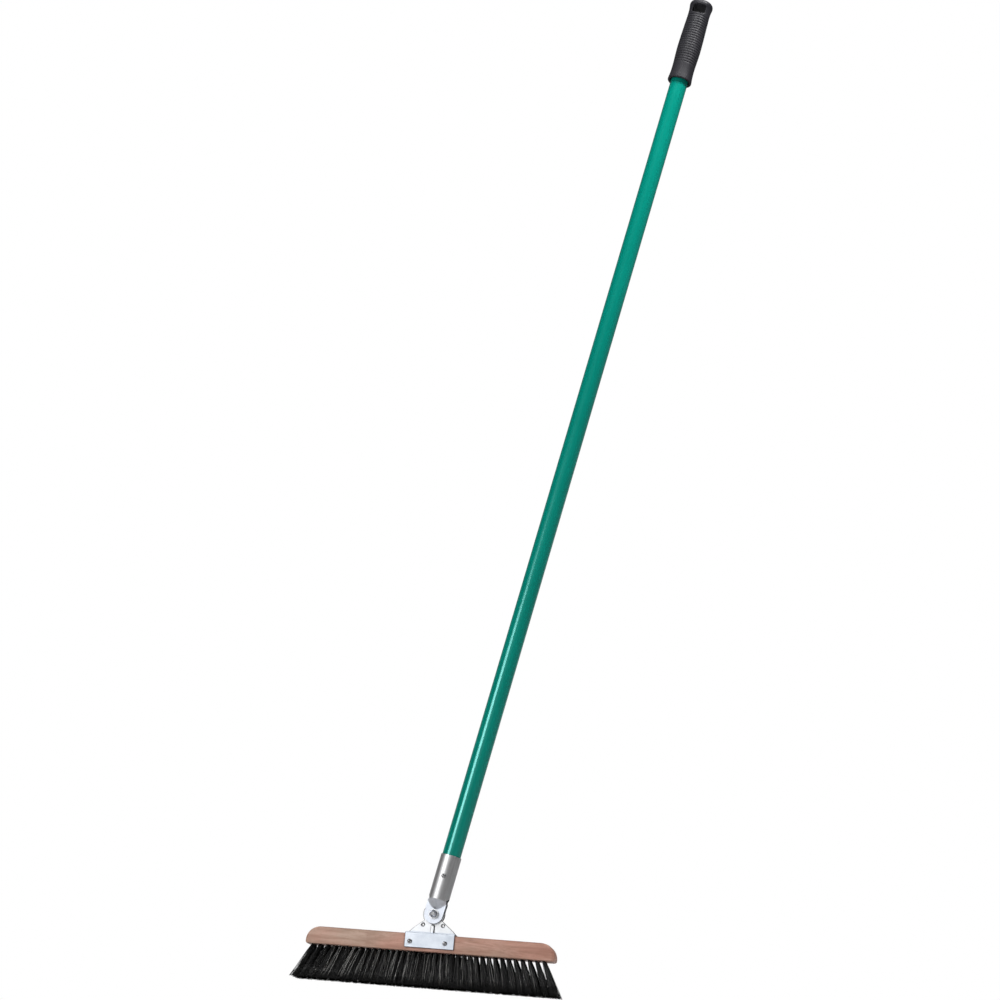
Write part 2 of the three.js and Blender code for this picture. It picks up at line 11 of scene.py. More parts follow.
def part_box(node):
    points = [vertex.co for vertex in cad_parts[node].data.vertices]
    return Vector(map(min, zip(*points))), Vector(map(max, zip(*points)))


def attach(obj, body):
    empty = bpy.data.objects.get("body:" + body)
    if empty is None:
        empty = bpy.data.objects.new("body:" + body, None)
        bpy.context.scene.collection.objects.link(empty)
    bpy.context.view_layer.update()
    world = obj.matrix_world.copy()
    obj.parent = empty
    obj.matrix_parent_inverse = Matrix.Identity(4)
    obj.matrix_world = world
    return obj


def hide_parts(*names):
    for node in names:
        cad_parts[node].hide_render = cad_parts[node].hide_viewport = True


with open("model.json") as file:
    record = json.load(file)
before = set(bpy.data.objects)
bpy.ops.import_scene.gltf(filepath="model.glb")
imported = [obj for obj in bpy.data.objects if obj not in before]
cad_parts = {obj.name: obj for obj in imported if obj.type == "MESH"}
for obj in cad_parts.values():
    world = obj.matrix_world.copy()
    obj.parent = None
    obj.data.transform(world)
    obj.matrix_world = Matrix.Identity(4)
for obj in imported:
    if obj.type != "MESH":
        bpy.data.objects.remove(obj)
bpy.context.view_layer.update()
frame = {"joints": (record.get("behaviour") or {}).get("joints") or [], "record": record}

# Sizes in millimetres, as in the CAD part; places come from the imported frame

MM = 0.001


def box_mm(node):
    low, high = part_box(node)
    return low / MM, high / MM


def centre_mm(node):
    low, high = box_mm(node)
    return (low + high) / 2


BLOCK_LOW, BLOCK_HIGH = box_mm("brush_block")
BLOCK_HALF = BLOCK_HIGH.x
BLOCK_DEPTH = BLOCK_HIGH.y
BLOCK_BOTTOM = BLOCK_LOW.z
BLOCK_TOP = BLOCK_HIGH.z
BLOCK_SHOULDER = 19
BLOCK_HEEL = 3
BLOCK_END_ROUND = 5
BLOCK_ARRIS = 1.0

TUFTS = 38
ROWS = (("front", -1), ("middle", 0), ("back", 1))
SCREWS = ("wood_screw_front_left", "wood_screw_front_right", "wood_screw_back_left",
          "wood_screw_back_right")
TUFT_HOLE_RADIUS = 2.3
TUFT_HOLE_DEPTH = 9
ROW_SPACING = 8.5
ROW_SPREAD = 19.4
ROOT_SPAN = 319
FAN_SHIFT = -2.5
PITCH_EASE = 0.81
HOLE_LEAN = math.radians(26)

PIVOT = Vector(frame["joints"][0]["pos_m"]) / MM
HANG_AXIS = Vector(next(m["axis"] for m in frame["record"]["mounts"] if m["name"] == "hang_face"))
HANDLE_TILT = math.atan2(-HANG_AXIS.x, -HANG_AXIS.z)

HALF_SHEET = 1
PLATE_HALF_WIDTH = 34.3
PLATE_BEND = 2                 # radius of the middle of the sheet at the bends
PLATE_FACE = 2.15              # outer face of the upright, from the middle of the broom
FLANGE_FACE = BLOCK_DEPTH + 2.3
FLANGE_FOOT = BLOCK_TOP - 19.2
SHELF_TOP = BLOCK_TOP + 2.3
PLATE_EAR_RADIUS = 15.2
PLATE_ARRIS = 0.7
BOLT_HOLE = 3.3
RIVET_HOLE = 2.3
RIVET_BORE = 1.4                # these four are radii, but for the rise
RIVET_SHANK = 2.0
RIVET_HEAD = 3.0
RIVET_RISE = 0.7
SCREW_HOLE = 2.05
SCREW_HOLE_START = 2.6          # depth from the middle of the block
SCREW_HEAD = 3.15
SCREW_RISE = 1.9
SCREW_THREAD = 1.4              # pitch
WASHER_RADIUS = 7
NUT_FLATS = 10
BOLT_HEAD_HEIGHT = 4

SOCKET_INNER = 13.3
SOCKET_OUTER = 14.4
SOCKET_TOP = 82.3
SLOT_TOP = 24.5
CREASE = 20
EAR_RADIUS = 13.2
EAR_OUTER = 5.85
EAR_INNER = 2.45
PINCH_SLOPE = (SOCKET_OUTER - EAR_OUTER) / 13
NECK_HALF = 12                  # of a tongue, at the crease
RING_COLUMNS = 160
TONGUE_COLUMNS = 36            # on each side of the middle of a tongue, at its root
EAR_ANGLE = math.radians(56.25)    # of the half tongue that reaches the ear

TUBE_RADIUS = 13
TUBE_WALL = 0.6
TUBE_START = 28
TUBE_END = 1397
TUBE_ARRIS = 0.2
SOCKET_SCREW_ALONG = 52.7
SOCKET_SCREW_HOLE = 2.2
GRIP_START = 1289
GRIP_BORE_END = 1400
SLOT_WIDTH = 19.8
SLOT_HEIGHT = 12.4
SLOT_BOTTOM = 1402
SLOT_ROUND = 1.1

SCENE = bpy.context.scene
HANDLE = Matrix.Translation(PIVOT * MM) @ Matrix.Rotation(HANDLE_TILT, 4, "Y")
BACK_TO_FRONT = Matrix.Rotation(math.pi, 4, "Z")


# Mesh helpers

def new_piece(name, vertices, faces, matrix=None):
    """An object from points in mm; matrix turns or moves the points first, in metres."""
    mesh = bpy.data.meshes.new(name)
    mesh.from_pydata([Vector(v) * MM for v in vertices], [], faces)
    if matrix is not None:
        mesh.transform(matrix)
    obj = bpy.data.objects.new(name, mesh)
    SCENE.collection.objects.link(obj)
    tidy_mesh(obj)
    return obj


def tidy_mesh(obj):
    work = bmesh.new()
    work.from_mesh(obj.data)
    bmesh.ops.remove_doubles(work, verts=work.verts, dist=1e-7)
    bmesh.ops.dissolve_degenerate(work, edges=work.edges, dist=1e-7)
    bmesh.ops.recalc_face_normals(work, faces=work.faces)
    work.to_mesh(obj.data)
    work.free()


def apply_modifiers(obj):
    graph = bpy.context.evaluated_depsgraph_get()
    mesh = bpy.data.meshes.new_from_object(obj.evaluated_get(graph))
    old = obj.data
    obj.modifiers.clear()
    obj.data = mesh
    bpy.data.meshes.remove(old)


def combine(obj, other, operation="DIFFERENCE"):
    modifier = obj.modifiers.new("combine", "BOOLEAN")
    modifier.operation = operation
    modifier.solver = "EXACT"
    modifier.object = other
    apply_modifiers(obj)
    mesh = other.data
    bpy.data.objects.remove(other)
    bpy.data.meshes.remove(mesh)


def soften(obj, width, angle, segments=2):
    modifier = obj.modifiers.new("soften", "BEVEL")
    modifier.width = width * MM
    modifier.segments = segments
    modifier.limit_method = "ANGLE"
    modifier.angle_limit = math.radians(angle)
    modifier.use_clamp_overlap = False
    modifier.loop_slide = True
    apply_modifiers(obj)


def shade(obj, angle):
    obj.data.shade_smooth()
    obj.data.set_sharp_from_angle(angle=math.radians(angle))
    modifier = obj.modifiers.new("weights", "WEIGHTED_NORMAL")
    modifier.keep_sharp = True
    apply_modifiers(obj)


def arc(centre, radius, start, end, steps):
    """Points of an arc in degrees, both ends included."""
    points = []
    for step in range(steps + 1):
        angle = math.radians(start + (end - start) * step / steps)
        x = centre[0] + radius * math.cos(angle)
        points.append((x, centre[1] + radius * math.sin(angle)))
    return points


def revolve(profile, segments, closed=False):
    """A profile of (radius, height) pairs turned about Z."""
    vertices, rings, faces = [], [], []
    for radius, height in profile:
        count = segments if radius > 1e-6 else 1
        rings.append(list(range(len(vertices), len(vertices) + count)))
        for index in range(count):
            angle = 2 * math.pi * index / segments
            vertices.append((radius * math.cos(angle), radius * math.sin(angle), height))
    pairs = list(zip(rings, rings[1:]))
    if closed:
        pairs.append((rings[-1], rings[0]))
    for lower, upper in pairs:
        for index in range(segments):
            after = (index + 1) % segments
            corners = [lower[index % len(lower)], lower[after % len(lower)]]
            corners += [upper[after % len(upper)], upper[index % len(upper)]]
            corners = list(dict.fromkeys(corners))
            if len(corners) > 2:
                faces.append(corners)
    return vertices, faces


def rod(radius, low, high, segments=32):
    """A plain round cutter along Z."""
    return revolve([(0, low), (radius, low), (radius, high), (0, high)], segments)


ALONG_Y = Matrix.Rotation(math.radians(90), 4, "X")      # turns +Z to -Y


def joined(parts):
    """Several (vertices, faces) sets as one."""
    vertices, faces = [], []
    for part_vertices, part_faces in parts:
        start = len(vertices)
        vertices += [tuple(v) for v in part_vertices]
        faces += [[start + index for index in face] for face in part_faces]
    return vertices, faces


def loft(rings):
    """Closed rings of equal length, joined in order and capped at both ends."""
    count = len(rings[0])
    vertices = [point for ring in rings for point in ring]
    faces = []
    for level in range(len(rings) - 1):
        for index in range(count):
            after = (index + 1) % count
            low, high = level * count, (level + 1) * count
            faces.append([low + index, low + after, high + after, high + index])
    faces.append(list(reversed(range(count))))
    faces.append(list(range(len(vertices) - count, len(vertices))))
    return vertices, faces


def rounded_rectangle(half_x, half_y, radius, steps):
    points = []
    corners = ((1, 1, 0), (-1, 1, 90), (-1, -1, 180), (1, -1, 270))
    for side_x, side_y, start in corners:
        centre = (side_x * (half_x - radius), side_y * (half_y - radius))
        points += arc(centre, radius, start, start + 90, steps)
    return points


def outward_normals(loop):
    """Unit normals at the points of a loop, to the right of its direction."""
    count = len(loop)
    normals = []
    for index in range(count):
        before = Vector(loop[index]) - Vector(loop[index - 1])
        after = Vector(loop[(index + 1) % count]) - Vector(loop[index])
        first = Vector((before.y, -before.x)).normalized()
        second = Vector((after.y, -after.x)).normalized()
        middle = (first + second).normalized()
        normals.append(middle / max(0.5, middle.dot(first)))
    return normals


def flat_plate(outline, holes, half, arris, steps=3):
    """A flat plate with holes and rounded edges, from -half to half along Z.

    The outline runs anticlockwise and the holes clockwise.
    """
    vertices, faces, caps = [], [], {-1: [], 1: []}
    for loop in [outline, *holes]:
        normals = outward_normals(loop)
        rings = []
        for side in (-1, 1):
            for step in range(steps + 1):
                angle = math.pi / 2 * (step if side < 0 else steps - step) / steps
                inset = arris * (1 - math.sin(angle))
                level = side * (half - arris * (1 - math.cos(angle)))
                rings.append(list(range(len(vertices), len(vertices) + len(loop))))
                for point, normal in zip(loop, normals):
                    moved = Vector(point) - normal * inset
                    vertices.append((moved.x, moved.y, level))
        for lower, upper in zip(rings, rings[1:]):
            for index in range(len(loop)):
                after = (index + 1) % len(loop)
                faces.append([lower[index], lower[after], upper[after], upper[index]])
        caps[-1].append(rings[0])
        caps[1].append(rings[-1])
    for side, loops in caps.items():
        flat = [index for loop in loops for index in loop]
        polygons = [[Vector(vertices[index]) for index in loop] for loop in loops]
        for triangle in tessellate_polygon(polygons):
            faces.append([flat[index] for index in triangle])
    return vertices, faces


def circle(x, y, radius, steps, clockwise=False):
    points = arc((x, y), radius, 0, 360, steps)[:-1]
    return points[::-1] if clockwise else points


def thickened(outer, inner, quads):
    """A closed sheet from its outer and inner points and the faces that they share."""
    count = len(outer)
    faces = [list(quad) for quad in quads]
    faces += [[count + index for index in reversed(quad)] for quad in quads]
    sides = set()
    for quad in quads:
        for index, start in enumerate(quad):
            sides.add((start, quad[(index + 1) % len(quad)]))
    for start, end in sides:
        if (end, start) not in sides:
            faces.append([end, start, count + start, count + end])
    return list(outer) + list(inner), faces


def smoothstep(low, high, value):
    share = min(1.0, max(0.0, (value - low) / (high - low)))
    return share * share * (3 - 2 * share)


# Material helpers

def paint(red, green, blue):
    """A colour given in display values from 0 to 255."""
    linear = []
    for value in (red, green, blue):
        share = value / 255
        linear.append(share / 12.92 if share <= 0.04045 else ((share + 0.055) / 1.055) ** 2.4)
    return (*linear, 1)


def new_material(name, **inputs):
    material = bpy.data.materials.new(name)
    material.use_nodes = True
    shader = material.node_tree.nodes["Principled BSDF"]
    for label, value in inputs.items():
        shader.inputs[label.replace("_", " ")].default_value = value
    return material, material.node_tree, shader


def feed(tree, socket, value):
    """Links another node's output to a socket, or sets the socket to a value."""
    if isinstance(value, bpy.types.NodeSocket):
        tree.links.new(value, socket)
    else:
        socket.default_value = value


def node(tree, kind, settings=None, **inputs):
    made = tree.nodes.new(kind)
    for key, value in (settings or {}).items():
        setattr(made, key, value)
    for key, value in inputs.items():
        feed(tree, made.inputs[key.replace("_", " ")], value)
    return made


def object_axes(tree):
    """The X, Y and Z of the object coordinates, in metres."""
    coordinates = node(tree, "ShaderNodeTexCoord").outputs["Object"]
    return node(tree, "ShaderNodeSeparateXYZ", Vector=coordinates).outputs


def noise(tree, scale, detail=3.0, roughness=0.5, distortion=0.0):
    """Noise over the object's own coordinates in metres, each axis times its scale."""
    coordinates = node(tree, "ShaderNodeTexCoord").outputs["Object"]
    spread = node(tree, "ShaderNodeMapping", Vector=coordinates, Scale=scale).outputs["Vector"]
    made = node(tree, "ShaderNodeTexNoise", Vector=spread, Scale=1.0, Detail=detail,
                Roughness=roughness, Distortion=distortion)
    return made.outputs["Fac"]


def ramp(tree, factor, stops):
    made = node(tree, "ShaderNodeValToRGB", Fac=factor)
    elements = made.color_ramp.elements
    while len(elements) < len(stops):
        elements.new(0.5)
    for element, (position, value) in zip(elements, stops):
        element.position = position
        element.color = value if isinstance(value, tuple) else (value, value, value, 1)
    return made.outputs["Color"]


def mixed(tree, factor, first, second, blend="MIX"):
    made = tree.nodes.new("ShaderNodeMix")
    made.data_type = "RGBA"
    made.blend_type = blend
    for index, value in ((0, factor), (6, first), (7, second)):
        feed(tree, made.inputs[index], value)
    return made.outputs[2]


def calculated(tree, operation, first, second=0.0):
    made = tree.nodes.new("ShaderNodeMath")
    made.operation = operation
    feed(tree, made.inputs[0], first)
    feed(tree, made.inputs[1], second)
    return made.outputs[0]


def painted(tree, shader, colour, rough):
    """Feeds a colour and a roughness to the shader."""
    tree.links.new(colour, shader.inputs["Base Color"])
    tree.links.new(rough, shader.inputs["Roughness"])


def share_of(tree, length, span):
    """A length in metres as a share of a span in mm, to drive a ramp."""
    return calculated(tree, "MULTIPLY", length, 1 / (span * MM))


def bumped(tree, shader, height, strength, distance):
    made = node(tree, "ShaderNodeBump", Height=height, Strength=strength, Distance=distance)
    tree.links.new(made.outputs["Normal"], shader.inputs["Normal"])


# Materials

def beech_material():
    """Pinkish steamed beech: soft growth bands, fine pores and short ray flecks along X; painted
    shade darkens the front and back faces along the top and bottom edges.
    """
    material, tree, shader = new_material("beech", Specular_IOR_Level=0.35, Coat_Weight=0.12,
                                          Coat_Roughness=0.35)
    bands = noise(tree, (14, 60, 90), 5, 0.62, 1.1)
    streaks = noise(tree, (28, 180, 300), 3, 0.6, 0.8)
    pores = noise(tree, (90, 1900, 1900), 2, 0.6)
    flecks = noise(tree, (260, 1500, 2300), 1, 0.4)
    patches = noise(tree, (9, 22, 22), 3, 0.5)
    base = ramp(tree, bands, [(0.34, paint(164, 126, 111)), (0.5, paint(182, 146, 131)),
                              (0.66, paint(199, 164, 150))])
    warm = ramp(tree, patches, [(0.38, paint(255, 238, 232)), (0.62, paint(246, 255, 250))])
    base = mixed(tree, 1.0, base, warm, "MULTIPLY")
    base = mixed(tree, ramp(tree, streaks, [(0.54, 0.0), (0.72, 0.4)]), base, paint(146, 104, 86))
    fleck_mask = ramp(tree, flecks, [(0.64, 0.0), (0.72, 0.55)])
    base = mixed(tree, fleck_mask, base, paint(142, 94, 76))
    pore_mask = ramp(tree, pores, [(0.56, 0.0), (0.75, 0.4)])
    base = mixed(tree, pore_mask, base, paint(150, 104, 86))
    axes = object_axes(tree)
    # Painted shade: the front and back faces grow darker within the top and bottom tenth of the
    # block's height, standing in for the shade at the rounded edges.
    middle = calculated(tree, "SUBTRACT", axes["Z"], (BLOCK_TOP + BLOCK_BOTTOM) / 2 * MM)
    away = calculated(tree, "ABSOLUTE", middle)
    share = calculated(tree, "DIVIDE", away, (BLOCK_TOP - BLOCK_BOTTOM) / 2 * MM)
    wear_and_painted_shade = ramp(tree, share, [(0.9, 1.0), (0.96, 0.62), (1.0, 0.5)])
    depth = calculated(tree, "ABSOLUTE", axes["Y"])
    outward = calculated(tree, "DIVIDE", depth, BLOCK_DEPTH * MM)
    on_faces = ramp(tree, outward, [(0.94, 0.0), (0.97, 1.0)])
    base = mixed(tree, on_faces, base, mixed(tree, 1.0, base, wear_and_painted_shade, "MULTIPLY"))
    rough = ramp(tree, pores, [(0.3, 0.44), (0.8, 0.62)])
    painted(tree, shader, base, rough)
    bumped(tree, shader, pores, 0.25, 0.0002)
    return material


def bristle_material():
    """Black fibre with a soft shine; some strands are greyer and a few near white, partly as
    painted highlights; all are painted near black at the cut tips as painted shade.
    """
    material, tree, shader = new_material("bristle", Specular_IOR_Level=0.55)
    tone = node(tree, "ShaderNodeAttribute", {"attribute_name": "tone"}).outputs["Fac"]
    grain = noise(tree, (900, 900, 60), 2)
    # Strand tones: mostly black, some grey, a few near white; the near-white strands are partly
    # lighter fibres and partly painted highlights, standing in for glints along single fibres.
    dark = ramp(tree, tone, [(0.0, paint(5, 5, 6)), (0.8, paint(12, 12, 13)),
                             (0.86, paint(92, 92, 91)), (1.0, paint(222, 220, 216))])
    colour = mixed(tree, 0.35, dark, ramp(tree, grain, [(0.35, 0.35), (0.7, 1.0)]), "MULTIPLY")
    # Painted shade: the lowest part of every fibre, near the cut tips, is painted near black,
    # standing in for the shade under the brush.
    height = share_of(tree, object_axes(tree)["Z"], 50)
    above_tips = ramp(tree, height, [(0.05, 0.0), (0.22, 1.0)])
    colour = mixed(tree, above_tips, paint(8, 8, 9), colour)
    rough = ramp(tree, tone, [(0.0, 0.34), (1.0, 0.5)])
    painted(tree, shader, colour, rough)
    return material


def with_cut_edges(tree, colour, edge_colour):
    """Darkens the cut edges of a sheet, which the plating covers thinly; how dark they are painted
    is partly painted shade, for the dark lines that shade and dark reflections give along the
    edges.
    """
    edge = node(tree, "ShaderNodeAttribute", {"attribute_name": "edge"}).outputs["Fac"]
    return mixed(tree, edge, colour, edge_colour)


def zinc_material():
    """Bright zinc plate: cloudy mottling, rolling lines along X, marks, and painted shade on faces
    that turn to the sides, such as the bead's flanks.
    """
    material, tree, shader = new_material("zinc", Metallic=0.72)
    clouds = noise(tree, (60, 60, 60), 4, 0.6)
    lines = noise(tree, (25, 900, 900), 3, 0.6)
    marks = noise(tree, (700, 420, 700), 2, 0.5)
    colour = ramp(tree, clouds, [(0.35, paint(208, 216, 227)), (0.65, paint(228, 234, 243))])
    colour = mixed(tree, ramp(tree, marks, [(0.66, 0.0), (0.78, 0.3)]), colour,
                   paint(176, 180, 186))
    # Painted light: the zinc above the shelf, the upright and the washers, is painted nearly white,
    # lighter than the flange, for the brighter light that falls on the upright.
    height = share_of(tree, object_axes(tree)["Z"], 100)
    upright = ramp(tree, height, [(0.73, 0.0), (0.75, 0.7)])
    colour = mixed(tree, upright, colour, paint(252, 252, 252))
    # Painted shade: faces turned to -X are darkened a little and faces turned to +X much more, for
    # the shade on the bead's flanks and the sheet's sides.
    normal = node(tree, "ShaderNodeNewGeometry").outputs["Normal"]
    sideways = node(tree, "ShaderNodeSeparateXYZ", Vector=normal).outputs["X"]
    facing = calculated(tree, "ADD", calculated(tree, "MULTIPLY", sideways, 0.5), 0.5)
    painted_side_shade = ramp(tree, facing, [(0.24, 0.5), (0.38, 1.0), (0.6, 1.0), (0.74, 0.16)])
    colour = mixed(tree, 1.0, colour, painted_side_shade, "MULTIPLY")
    # The plates' cut edges are painted mid grey: partly thinner plating, partly painted shade for
    # their dark outlines.
    colour = with_cut_edges(tree, colour, paint(96, 97, 100))
    rough = calculated(tree, "ADD", ramp(tree, clouds, [(0.3, 0.28), (0.7, 0.38)]),
                       calculated(tree, "MULTIPLY", lines, 0.08))
    painted(tree, shader, colour, rough)
    bumped(tree, shader, lines, 0.04, 0.0002)
    return material


def drawn_material():
    """Plated steel with drawing lines along the handle; the pinched end and the ears are matt."""
    material, tree, shader = new_material("drawn", Metallic=1.0, Anisotropic=0.55)
    lines = noise(tree, (1400, 1400, 14), 4, 0.65)
    clouds = noise(tree, (70, 70, 35), 3, 0.6)
    colour = ramp(tree, lines, [(0.3, paint(172, 172, 173)), (0.7, paint(208, 208, 209))])
    colour = mixed(tree, 0.5, colour, ramp(tree, clouds, [(0.3, 0.72), (0.7, 1.0)]), "MULTIPLY")
    axes = object_axes(tree)
    depth = share_of(tree, calculated(tree, "ABSOLUTE", axes["Y"]), 10)
    along = share_of(tree, axes["Z"], 50)
    flat = ramp(tree, depth, [(0.6, 1.0), (0.65, 0.0)])
    low = ramp(tree, along, [(0.32, 1.0), (0.36, 0.0)])
    ear = calculated(tree, "MULTIPLY", flat, low)
    pinched = ramp(tree, along, [(0.395, 1.0), (0.41, 0.0)])
    colour = mixed(tree, pinched, colour, paint(196, 199, 205))
    colour = mixed(tree, ear, colour, paint(230, 235, 244))
    # The socket's cut edges are painted nearly black: partly thinner plating, mostly painted shade
    # for the dark band beside the ears at the joint.
    colour = with_cut_edges(tree, colour, paint(30, 31, 34))
    rough = ramp(tree, lines, [(0.25, 0.32), (0.75, 0.46)])
    rough = calculated(tree, "ADD", rough, calculated(tree, "MULTIPLY", pinched, 0.16))
    painted(tree, shader, colour, rough)
    tangent = node(tree, "ShaderNodeTangent", {"direction_type": "RADIAL", "axis": "Z"})
    tree.links.new(tangent.outputs[0], shader.inputs["Tangent"])
    bumped(tree, shader, lines, 0.12, 0.0002)
    return material


def fastener_material(name, dark, light):
    """Plated fasteners: shiny, with fine wear."""
    material, tree, shader = new_material(name, Metallic=1.0)
    wear = noise(tree, (800, 800, 800), 4, 0.6)
    colour = ramp(tree, wear, [(0.35, dark), (0.65, light)])
    rough = ramp(tree, wear, [(0.3, 0.14), (0.75, 0.3)])
    painted(tree, shader, colour, rough)
    bumped(tree, shader, wear, 0.05, 0.0001)
    return material


def green_material():
    """Thick glossy green coating: faint variation in depth and gloss."""
    material, tree, shader = new_material("green_coat", Specular_IOR_Level=1.0,
                                          Specular_Tint=(0.4, 1, 0.97, 1))
    depth = noise(tree, (30, 30, 9), 3, 0.5)
    colour = ramp(tree, depth, [(0.3, paint(0, 123, 108)), (0.7, paint(0, 130, 115))])
    rough = ramp(tree, depth, [(0.3, 0.17), (0.7, 0.21)])
    painted(tree, shader, colour, rough)
    return material


def grip_material():
    """Moulded charcoal rubber: satin, with a fine spark-eroded grain."""
    material, tree, shader = new_material("grip", Specular_IOR_Level=0.18)
    grain = noise(tree, (1500, 1500, 1500), 2, 0.6)
    wear_and_painted_shade = noise(tree, (45, 45, 30), 3, 0.5)
    colour = ramp(tree, wear_and_painted_shade, [(0.3, paint(29, 29, 33)), (0.7, paint(38, 37, 41))])
    rough = calculated(tree, "ADD", ramp(tree, wear_and_painted_shade, [(0.3, 0.38), (0.7, 0.48)]),
                       calculated(tree, "MULTIPLY", grain, 0.1))
    painted(tree, shader, colour, rough)
    bumped(tree, shader, grain, 0.25, 0.0001)
    return material


BEECH = beech_material()
BRISTLE = bristle_material()
ZINC = zinc_material()
DRAWN = drawn_material()
BOLT_STEEL = fastener_material("bright", paint(176, 178, 182), paint(212, 213, 216))
NUT_STEEL = fastener_material("nut_steel", paint(126, 129, 138), paint(164, 167, 175))
SCREW_STEEL = fastener_material("dull", paint(126, 126, 128), paint(160, 160, 162))
GREEN = green_material()
GRIP = grip_material()


def settle(obj, nodes, body, material, matrix=None):
    """Gives a finished piece its material, place and body, and hides the CAD nodes that it
    replaces.
    """
    obj.data.materials.clear()
    obj.data.materials.append(material)
    if matrix is not None:
        obj.matrix_world = matrix
    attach(obj, body)
    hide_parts(*nodes)
    return obj


# Brush block

def tuft_place(row, index, lean):
    """Root on the underside of the block, and slopes in X and Y for each mm down."""
    u = 2 * index / (TUFTS - 1) - 1
    x = FAN_SHIFT + ROOT_SPAN / 2 * (PITCH_EASE * u + (1 - PITCH_EASE) * u * abs(u))
    return x, row * ROW_SPACING, math.tan(lean * u), row * (ROW_SPREAD - ROW_SPACING) / BLOCK_BOTTOM


def block_half_length(z):
    if z < BLOCK_BOTTOM + BLOCK_HEEL:
        radius, rise = BLOCK_HEEL, BLOCK_BOTTOM + BLOCK_HEEL - z
    else:
        radius, rise = BLOCK_SHOULDER, max(0.0, z - BLOCK_TOP + BLOCK_SHOULDER)
    return BLOCK_HALF - radius + math.sqrt(max(0.0, radius ** 2 - rise ** 2))


def block_levels():
    """Heights of the block's sections, close together where it curves."""
    levels = set()
    for radius, steps in ((BLOCK_HEEL, 8), (BLOCK_ARRIS, 4)):
        for _, z in arc((0, BLOCK_BOTTOM + radius), radius, -90, 0, steps):
            levels.add(round(z, 4))
    for radius, steps in ((BLOCK_SHOULDER, 24), (BLOCK_ARRIS, 4)):
        for _, z in arc((0, BLOCK_TOP - radius), radius, 0, 90, steps):
            levels.add(round(z, 4))
    return sorted(levels)


def make_block():
    rings = []
    for z in block_levels():
        near = min(z - BLOCK_BOTTOM, BLOCK_TOP - z, BLOCK_ARRIS)
        inset = BLOCK_ARRIS - math.sqrt(max(0.0, BLOCK_ARRIS ** 2 - (BLOCK_ARRIS - near) ** 2))
        outline = rounded_rectangle(block_half_length(z), BLOCK_DEPTH - inset,
                                    BLOCK_END_ROUND - inset, 8)
        rings.append([(x, y, z) for x, y in outline])
    block = new_piece("block", *loft(rings))
    cutters = []
    for _, row in ROWS:
        for index in range(TUFTS):
            x, y, slope_x, slope_y = tuft_place(row, index, HOLE_LEAN)
            vertices, faces = rod(TUFT_HOLE_RADIUS, -2, TUFT_HOLE_DEPTH, 16)
            moved = [(x + vx - slope_x * vz, y + vy - slope_y * vz, BLOCK_BOTTOM + vz)
                     for vx, vy, vz in vertices]
            cutters.append((moved, faces))
    for node_name in SCREWS:
        low, high = box_mm(node_name)
        middle = (low + high) / 2
        side = -1 if middle.y < 0 else 1
        vertices, faces = rod(SCREW_HOLE, 0, 20, 24)
        cutters.append(([(middle.x + vx, side * (vz + SCREW_HOLE_START), middle.z + vy)
                         for vx, vy, vz in vertices], faces))
    combine(block, new_piece("cutters", *joined(cutters)))
    shade(block, 32)
    settle(block, ["brush_block"], "brush_head", BEECH)


# Bristles

FIBRES = 90                    # in each tuft
FIBRE_RADIUS = 0.2
FIBRE_STATIONS = (8.0, 0.0, -8.0, -18.0, -31.0, -46.0)   # heights from the block's underside
FIBRE_LEAN = math.radians(23.4)
BUNDLE_RADIUS = 2.08
BUNDLE_GROWTH_X = 0.086
BUNDLE_GROWTH_Y = 0.165


def fibre_paths(row):
    """Centre lines of all the fibres of a row as an array (fibre, station, axis), and tones."""
    rng = np.random.default_rng(41 + row)
    paths, tones = [], []
    for index in range(TUFTS):
        x, y, slope_x, slope_y = tuft_place(row, index, FIBRE_LEAN)
        share = np.sqrt(rng.random(FIBRES))
        turn = rng.random(FIBRES) * 2 * math.pi
        unit = np.stack([share * np.cos(turn), share * np.sin(turn)], axis=1)
        twist = rng.normal(0, 0.16)
        loose = 1 + 0.35 * (rng.random(FIBRES) < 0.04)
        drift = rng.normal(0, 0.55, (FIBRES, 2))
        bow = rng.normal(0, 0.7, (FIBRES, 2))
        trim = rng.random(FIBRES) * 0.3
        lean_error = rng.normal(0, 0.012)
        path = np.zeros((FIBRES, len(FIBRE_STATIONS), 3))
        for station, height in enumerate(FIBRE_STATIONS):
            fall = max(0.0, -height)
            part = fall / BLOCK_BOTTOM
            angle = twist * part
            turned_x = unit[:, 0] * math.cos(angle) - unit[:, 1] * math.sin(angle)
            turned_y = unit[:, 0] * math.sin(angle) + unit[:, 1] * math.cos(angle)
            spread_x = BUNDLE_RADIUS + BUNDLE_GROWTH_X * fall * loose
            spread_y = BUNDLE_RADIUS + BUNDLE_GROWTH_Y * fall * loose
            arch = 4 * part * (1 - part)
            path[:, station, 0] = (x - (slope_x + lean_error) * height + turned_x * spread_x
                                   + drift[:, 0] * part ** 2 + bow[:, 0] * arch)
            path[:, station, 1] = (y - slope_y * height + turned_y * spread_y
                                   + drift[:, 1] * part ** 2 + bow[:, 1] * arch)
            path[:, station, 2] = BLOCK_BOTTOM + height
        path[:, -1, 2] += trim
        paths.append(path)
        across = 2 * index / (TUFTS - 1) - 1
        end = smoothstep(0.9, 1.0, abs(across))
        # Painted shade: tones are lowered a little towards the right end of the row, for the shade
        # on that side.
        right = smoothstep(0.0, 0.7, across)
        tones.append(rng.random(FIBRES) * (1 - 0.3 * end) * (1 - 0.08 * right))
    return np.concatenate(paths), np.concatenate(tones)


